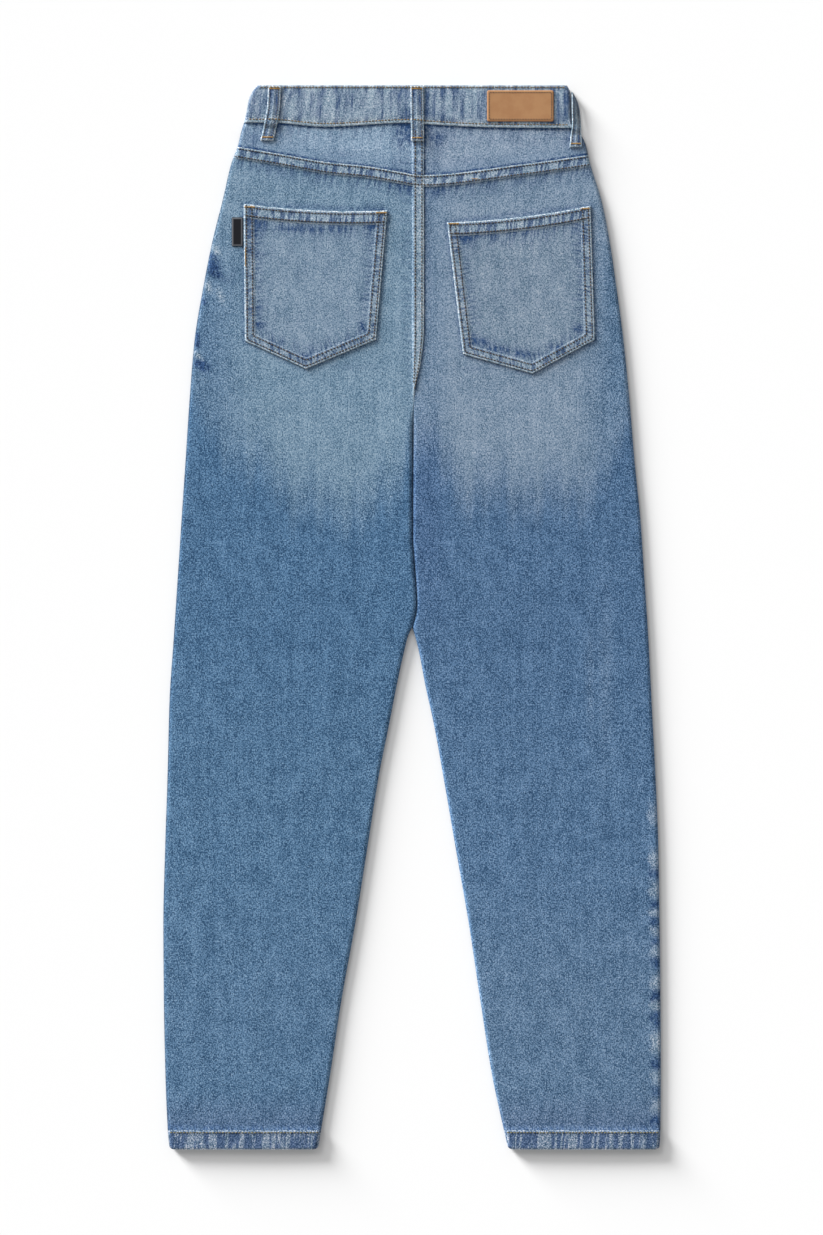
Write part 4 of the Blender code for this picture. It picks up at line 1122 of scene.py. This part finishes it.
def shankButton():
    steps, (across, down) = buttonLook["steps"], buttonLook["at"]
    verts = [(0.001 * (across + radius * cos(2 * pi * k / steps)),
              0.001 * (length / 2 - down + radius * sin(2 * pi * k / steps)), 0.001 * height)
             for radius, height in buttonLook["rings"] for k in range(steps)]
    piece = newPiece("button_look", verts, ringFaces(0, len(buttonLook["rings"]), steps), antiqueBrass)
    bpy.ops.object.select_all(action="DESELECT")
    bpy.context.view_layer.objects.active = piece
    piece.select_set(True)
    bpy.ops.object.mode_set(mode="EDIT")
    bpy.ops.mesh.select_all(action="SELECT")
    bpy.ops.mesh.remove_doubles(threshold=0.000005)
    bpy.ops.mesh.normals_make_consistent(inside=False)
    bpy.ops.object.mode_set(mode="OBJECT")
    piece.select_set(False)
    piece.data.set_sharp_from_angle(angle=radians(60))
    finishPiece(piece, "button")


shankButton()
print("patch, tab and button made")


# Stitches, laid on the finished cloth

stitchLook = {
    "tones": {"gold": ("#7d6a48", 0.4), "moss": ("#6a6446", 0.3), "olive": ("#443c33", 0.5),
              "brown": ("#3f3832", 0.35), "orange": ("#a88449", 0.2)},      # colour, and how much it varies
    # along the stitch, width, lift: each end dips into the cloth
    "sections": [(-0.5, 0.35, -0.6), (-0.36, 0.9, 0.0), (0.0, 1.05, 0.25), (0.36, 0.9, 0.0),
                 (0.5, 0.35, -0.6)],
    "steps": 6, "longest": 0.009,
    # bar tacks: across, down, width, and for two of them height and turn
    "tacks": [(-156, 117.0, 9.5), (-29.5, 122.5, 9.5), (40.0, 133.0, 9.5), (165.5, 118.5, 9.5),
              (-160.0, 165, 17, 1.2, pi / 2), (60.5, 89.8, 5.5, 0.9)],
    "patch": [(74.2, 7.2), (133.8, 7.2), (133.8, 32.8), (74.2, 32.8), (74.2, 7.2)],
}


def surfaceTree(side):
    points, faces, start = [], [], 0
    for verts, quads in surfaces[side]:
        points.append(verts)
        faces.append(quads + start)
        start += len(verts)
    return BVHTree.FromPolygons(np.concatenate(points).tolist(), np.concatenate(faces).tolist())


trees = {side: surfaceTree(side) for side in surfaces}


def landing(side, across, down):
    above = side == "back"
    start = Vector((across, length / 2 - down, 60.0 if above else -60.0)) * 0.001
    hit = trees[side].ray_cast(start, Vector((0, 0, -1 if above else 1)))
    if hit[0] is None:
        return None, None
    normal = hit[1] if (hit[1].z > 0) == above else -hit[1]
    return np.array(hit[0]), np.array(normal)


def holesAlong(row, pitch):
    row = np.array(row, dtype=float)
    run = np.concatenate([[0], np.cumsum(np.linalg.norm(np.diff(row, axis=0), axis=1))])
    at = np.linspace(0, run[-1], max(1, round(run[-1] / pitch)) + 1)
    return together(*[np.interp(at, run, row[:, k]) for k in (0, 1)])


def sewn(name, rows, tone, seed, pitch=3.1, radius=0.58, side="back"):
    # each row is a line of places across and down; one stitch between two holes
    dice = random.Random(seed)
    verts, faces, tints = [], [], []
    base, spread = stitchLook["tones"][tone]
    sections, steps = stitchLook["sections"], stitchLook["steps"]
    for row in rows:
        holes = holesAlong(row, pitch)
        for a, b in zip(holes[:-1], holes[1:]):
            start, upA = landing(side, *mix(a, b, 0.1))
            end, upB = landing(side, *mix(a, b, 0.9))
            if start is None or end is None or np.linalg.norm(end - start) > stitchLook["longest"]:
                continue
            along = end - start
            up = (upA + upB) / np.linalg.norm(upA + upB)
            aside = np.cross(up, along)
            aside = aside / np.linalg.norm(aside)
            thick = radius * dice.uniform(0.9, 1.1) * 0.001
            first = len(verts)
            for share, wide, lift in sections:
                centre = start + along * (share + 0.5) + up * thick * lift
                for k in range(steps):
                    turn = 2 * pi * k / steps
                    verts.append(centre + (aside * cos(turn) + up * sin(turn)) * thick * wide)
            faces += ringFaces(first, len(sections), steps)
            faces.append(tuple(reversed(range(first, first + steps))))
            faces.append(tuple(range(len(verts) - steps, len(verts))))
            tints += [linear(base) * (1 + dice.uniform(-spread, spread))] * (len(sections) * steps)
    piece = newPiece(name, [tuple(vert) for vert in verts], faces, goldThread)
    setAttribute(piece.data, "dye", np.array(tints))
    finishPiece(piece)


def curveRow(curve, extra, start, end, gap=3.0):
    return [(across, float(curve(across)) + extra) for across in spaced(start, end, gap)]


def tack(across, down, wide, tall=2.0, turn=0.0):
    # a bar tack: close zigzag threads over a short bar
    count = round(wide / 0.55)
    ends = [((k / count - 0.5) * wide, tall / 2) for k in range(count + 1)]
    return [[(across + x * cos(turn) - y * sin(turn), down + x * sin(turn) + y * cos(turn))
             for y in (half, -half)] for x, half in ends]


def pocketRow(corners, side, inset, foot=1.0):
    # a line inside a pocket, at an inset from its left, right, lower or upper edge
    row = []
    if side in ("left", "right"):
        for v in np.linspace(0, foot, 40):
            u = inset / mix(pocketLook["upperWidth"], pocketLook["lowerWidth"], v)
            row.append(tuple(pocketPoint(corners, u if side == "left" else 1 - u, v)[0]))
        return row
    end = inset / pocketLook["lowerWidth"] if side == "foot" else 0.012
    for u in np.linspace(end, 1 - end, 60):
        long = float(pocketPoint(corners, u, 0.5)[1])
        v = 1 - inset / pocketLook["footLean"] / long if side == "foot" else inset / long
        row.append(tuple(pocketPoint(corners, u, v)[0]))
    return row


def hemLines(inset):
    down = length - hem + 0.7
    return [[(float(low(down)) + inset, down), (float(high(down)) - inset, down)]
            for low, high in ((leftSide, leftInseam), (rightInseam, rightSide))]


def backStitches():
    rows = [curveRow(bandSeam, -2.9, -157, 150), curveRow(lambda across: 0, 1.9, -146, 147)]
    sewn("waistband_topstitching", rows, "gold", 3)
    rows = [curveRow(yokeSeam, 2.0, -170, 176), curveRow(yokeSeam, 9.6, -171, 177)]
    sewn("yoke_topstitching", rows, "olive", 4)
    seat = [[(float(leftInner(down)) - share * min(fell, float(leftInner(down)) - 1.0), down)
             for down in spaced(43, foot, 4.0)] for share, foot in ((0.2, 292), (0.8, 286))]
    sewn("seat_topstitching", seat, "olive", 5)
    for name, corners, seed in (("left", leftPocketCorners, 6), ("right", rightPocketCorners, 7)):
        rows = [pocketRow(corners, "top", 2.8), pocketRow(corners, "top", 10.9)]
        for inset in (2.4, 7.8):
            foot = 1 - inset / pocketLook["footLean"] / 130
            rows += [pocketRow(corners, side, inset, foot) for side in ("left", "right", "foot")]
        sewn("back_pocket_" + name + "_topstitching", rows, "olive", seed)
    sewn("hem_stitching", hemLines(2.0), "moss", 8)
    tacks = [row for place in stitchLook["tacks"] for row in tack(*place)]
    loopRows = []
    for table, top, foot in ((leftLoop, 3.4, 49.8), (centreLoop, 3.4, 50.6), (rightLoop, 9.4, 56.0)):
        for down in (top, foot):
            low, high, _ = loopEdges(table, down)
            if high - low > 6:
                tacks += tack((low + high) / 2, down, high - low - 2.6)
        start = table[0][0] + (2.5 if table is not rightLoop else 12.0)
        downs = spaced(start, table[-1][0] - 3, 3.0)
        loopRows += [[(mix(*loopEdges(table, down)[:2], share), down) for down in downs]
                     for share in (0.17, 0.83)]
    sewn("bar_tacks", tacks, "orange", 9, pitch=9.0, radius=0.34)
    sewn("belt_loop_stitching", loopRows, "brown", 10, pitch=2.8, radius=0.32)
    box = stitchLook["patch"]
    sewn("patch_stitching", [box[k:k + 2] for k in range(4)], "brown", 11, pitch=2.6, radius=0.28)


def frontStitches():
    fine = {"radius": 0.42, "side": "front"}
    insets = (2.0, 8.0)
    jays = [[(-float(flyEdge(down)) + inset, down) for down in spaced(44, flyShape["end"] - 8, 3.0)]
            for inset in insets]
    sewn("fly_topstitching", [[place for place in jay if place[0] < -2] for jay in jays], "gold", 12, **fine)
    mouths = [[(sign * across, float(scoop(sign * across)) + extra) for across in spaced(93, 168, 3.0)]
              for sign in (-1, 1) for extra in insets]
    sewn("front_pocket_topstitching", mouths, "gold", 13, **fine)
    sewn("front_hem_stitching", hemLines(4.0), "moss", 14, **fine)
    rise = [[(0.15 + inset, down) for down in spaced(44, crotch - 8, 4.0)] for inset in insets]
    sewn("front_rise_topstitching", rise, "gold", 15, **fine)
    loopRows = [[(sign * frontLoopAt + offset, down) for down in (3.5, 32.5)]
                for sign in (-1, 1) for offset in (-4.2, 4.2)]
    sewn("front_loop_stitching", loopRows, "brown", 16, pitch=2.8, radius=0.3, side="front")


backStitches()
frontStitches()
print("stitches made")


# Studio

studio = {
    "floor": 16.0, "camera": 2.807, "lens": 85.0,
    "lights": {"keyLight": {"from": (-1.1, 1.3, 1.3), "angle": 24.0, "strength": 0.75},
               "lowLight": {"from": (-2.6, 2.65, 0.88), "angle": 21.0, "strength": 8.1}},
    "sky": 0.42,
}


def floor():
    # white studio sheet
    material, _ = newMaterial("whiteStudioSheet", {"Roughness": 0.95, "Base Color": rgba("#ffffff"),
                                                   "Specular IOR Level": 0.0})
    bpy.ops.mesh.primitive_plane_add(size=studio["floor"] * 2, location=(0, 0, -0.0006))
    sheet = bpy.context.active_object
    sheet.name = "studioFloor"
    sheet.data.materials.append(material)


def light():
    world = bpy.context.scene.world or bpy.data.worlds.new("studio")
    bpy.context.scene.world = world
    world.use_nodes = True
    background = world.node_tree.nodes["Background"]
    background.inputs["Color"].default_value = (1, 1, 1, 1)
    background.inputs["Strength"].default_value = studio["sky"]
    for name, look in studio["lights"].items():
        lamp = bpy.data.lights.new(name, "SUN")
        lamp.angle = radians(look["angle"])
        lamp.energy = look["strength"]
        holder = bpy.data.objects.new(name, lamp)
        holder.location = look["from"]
        holder.rotation_euler = (-Vector(look["from"])).to_track_quat("-Z", "Y").to_euler()
        bpy.context.scene.collection.objects.link(holder)


def camera():
    lens = bpy.data.cameras.new("overhead")
    lens.lens = studio["lens"]
    lens.sensor_width = 36.0
    holder = bpy.data.objects.new("overhead", lens)
    holder.location = (-0.0005, -0.0002, studio["camera"])
    bpy.context.scene.collection.objects.link(holder)
    bpy.context.scene.camera = holder


floor()
light()
camera()
bpy.context.scene.view_settings.view_transform = "Standard"
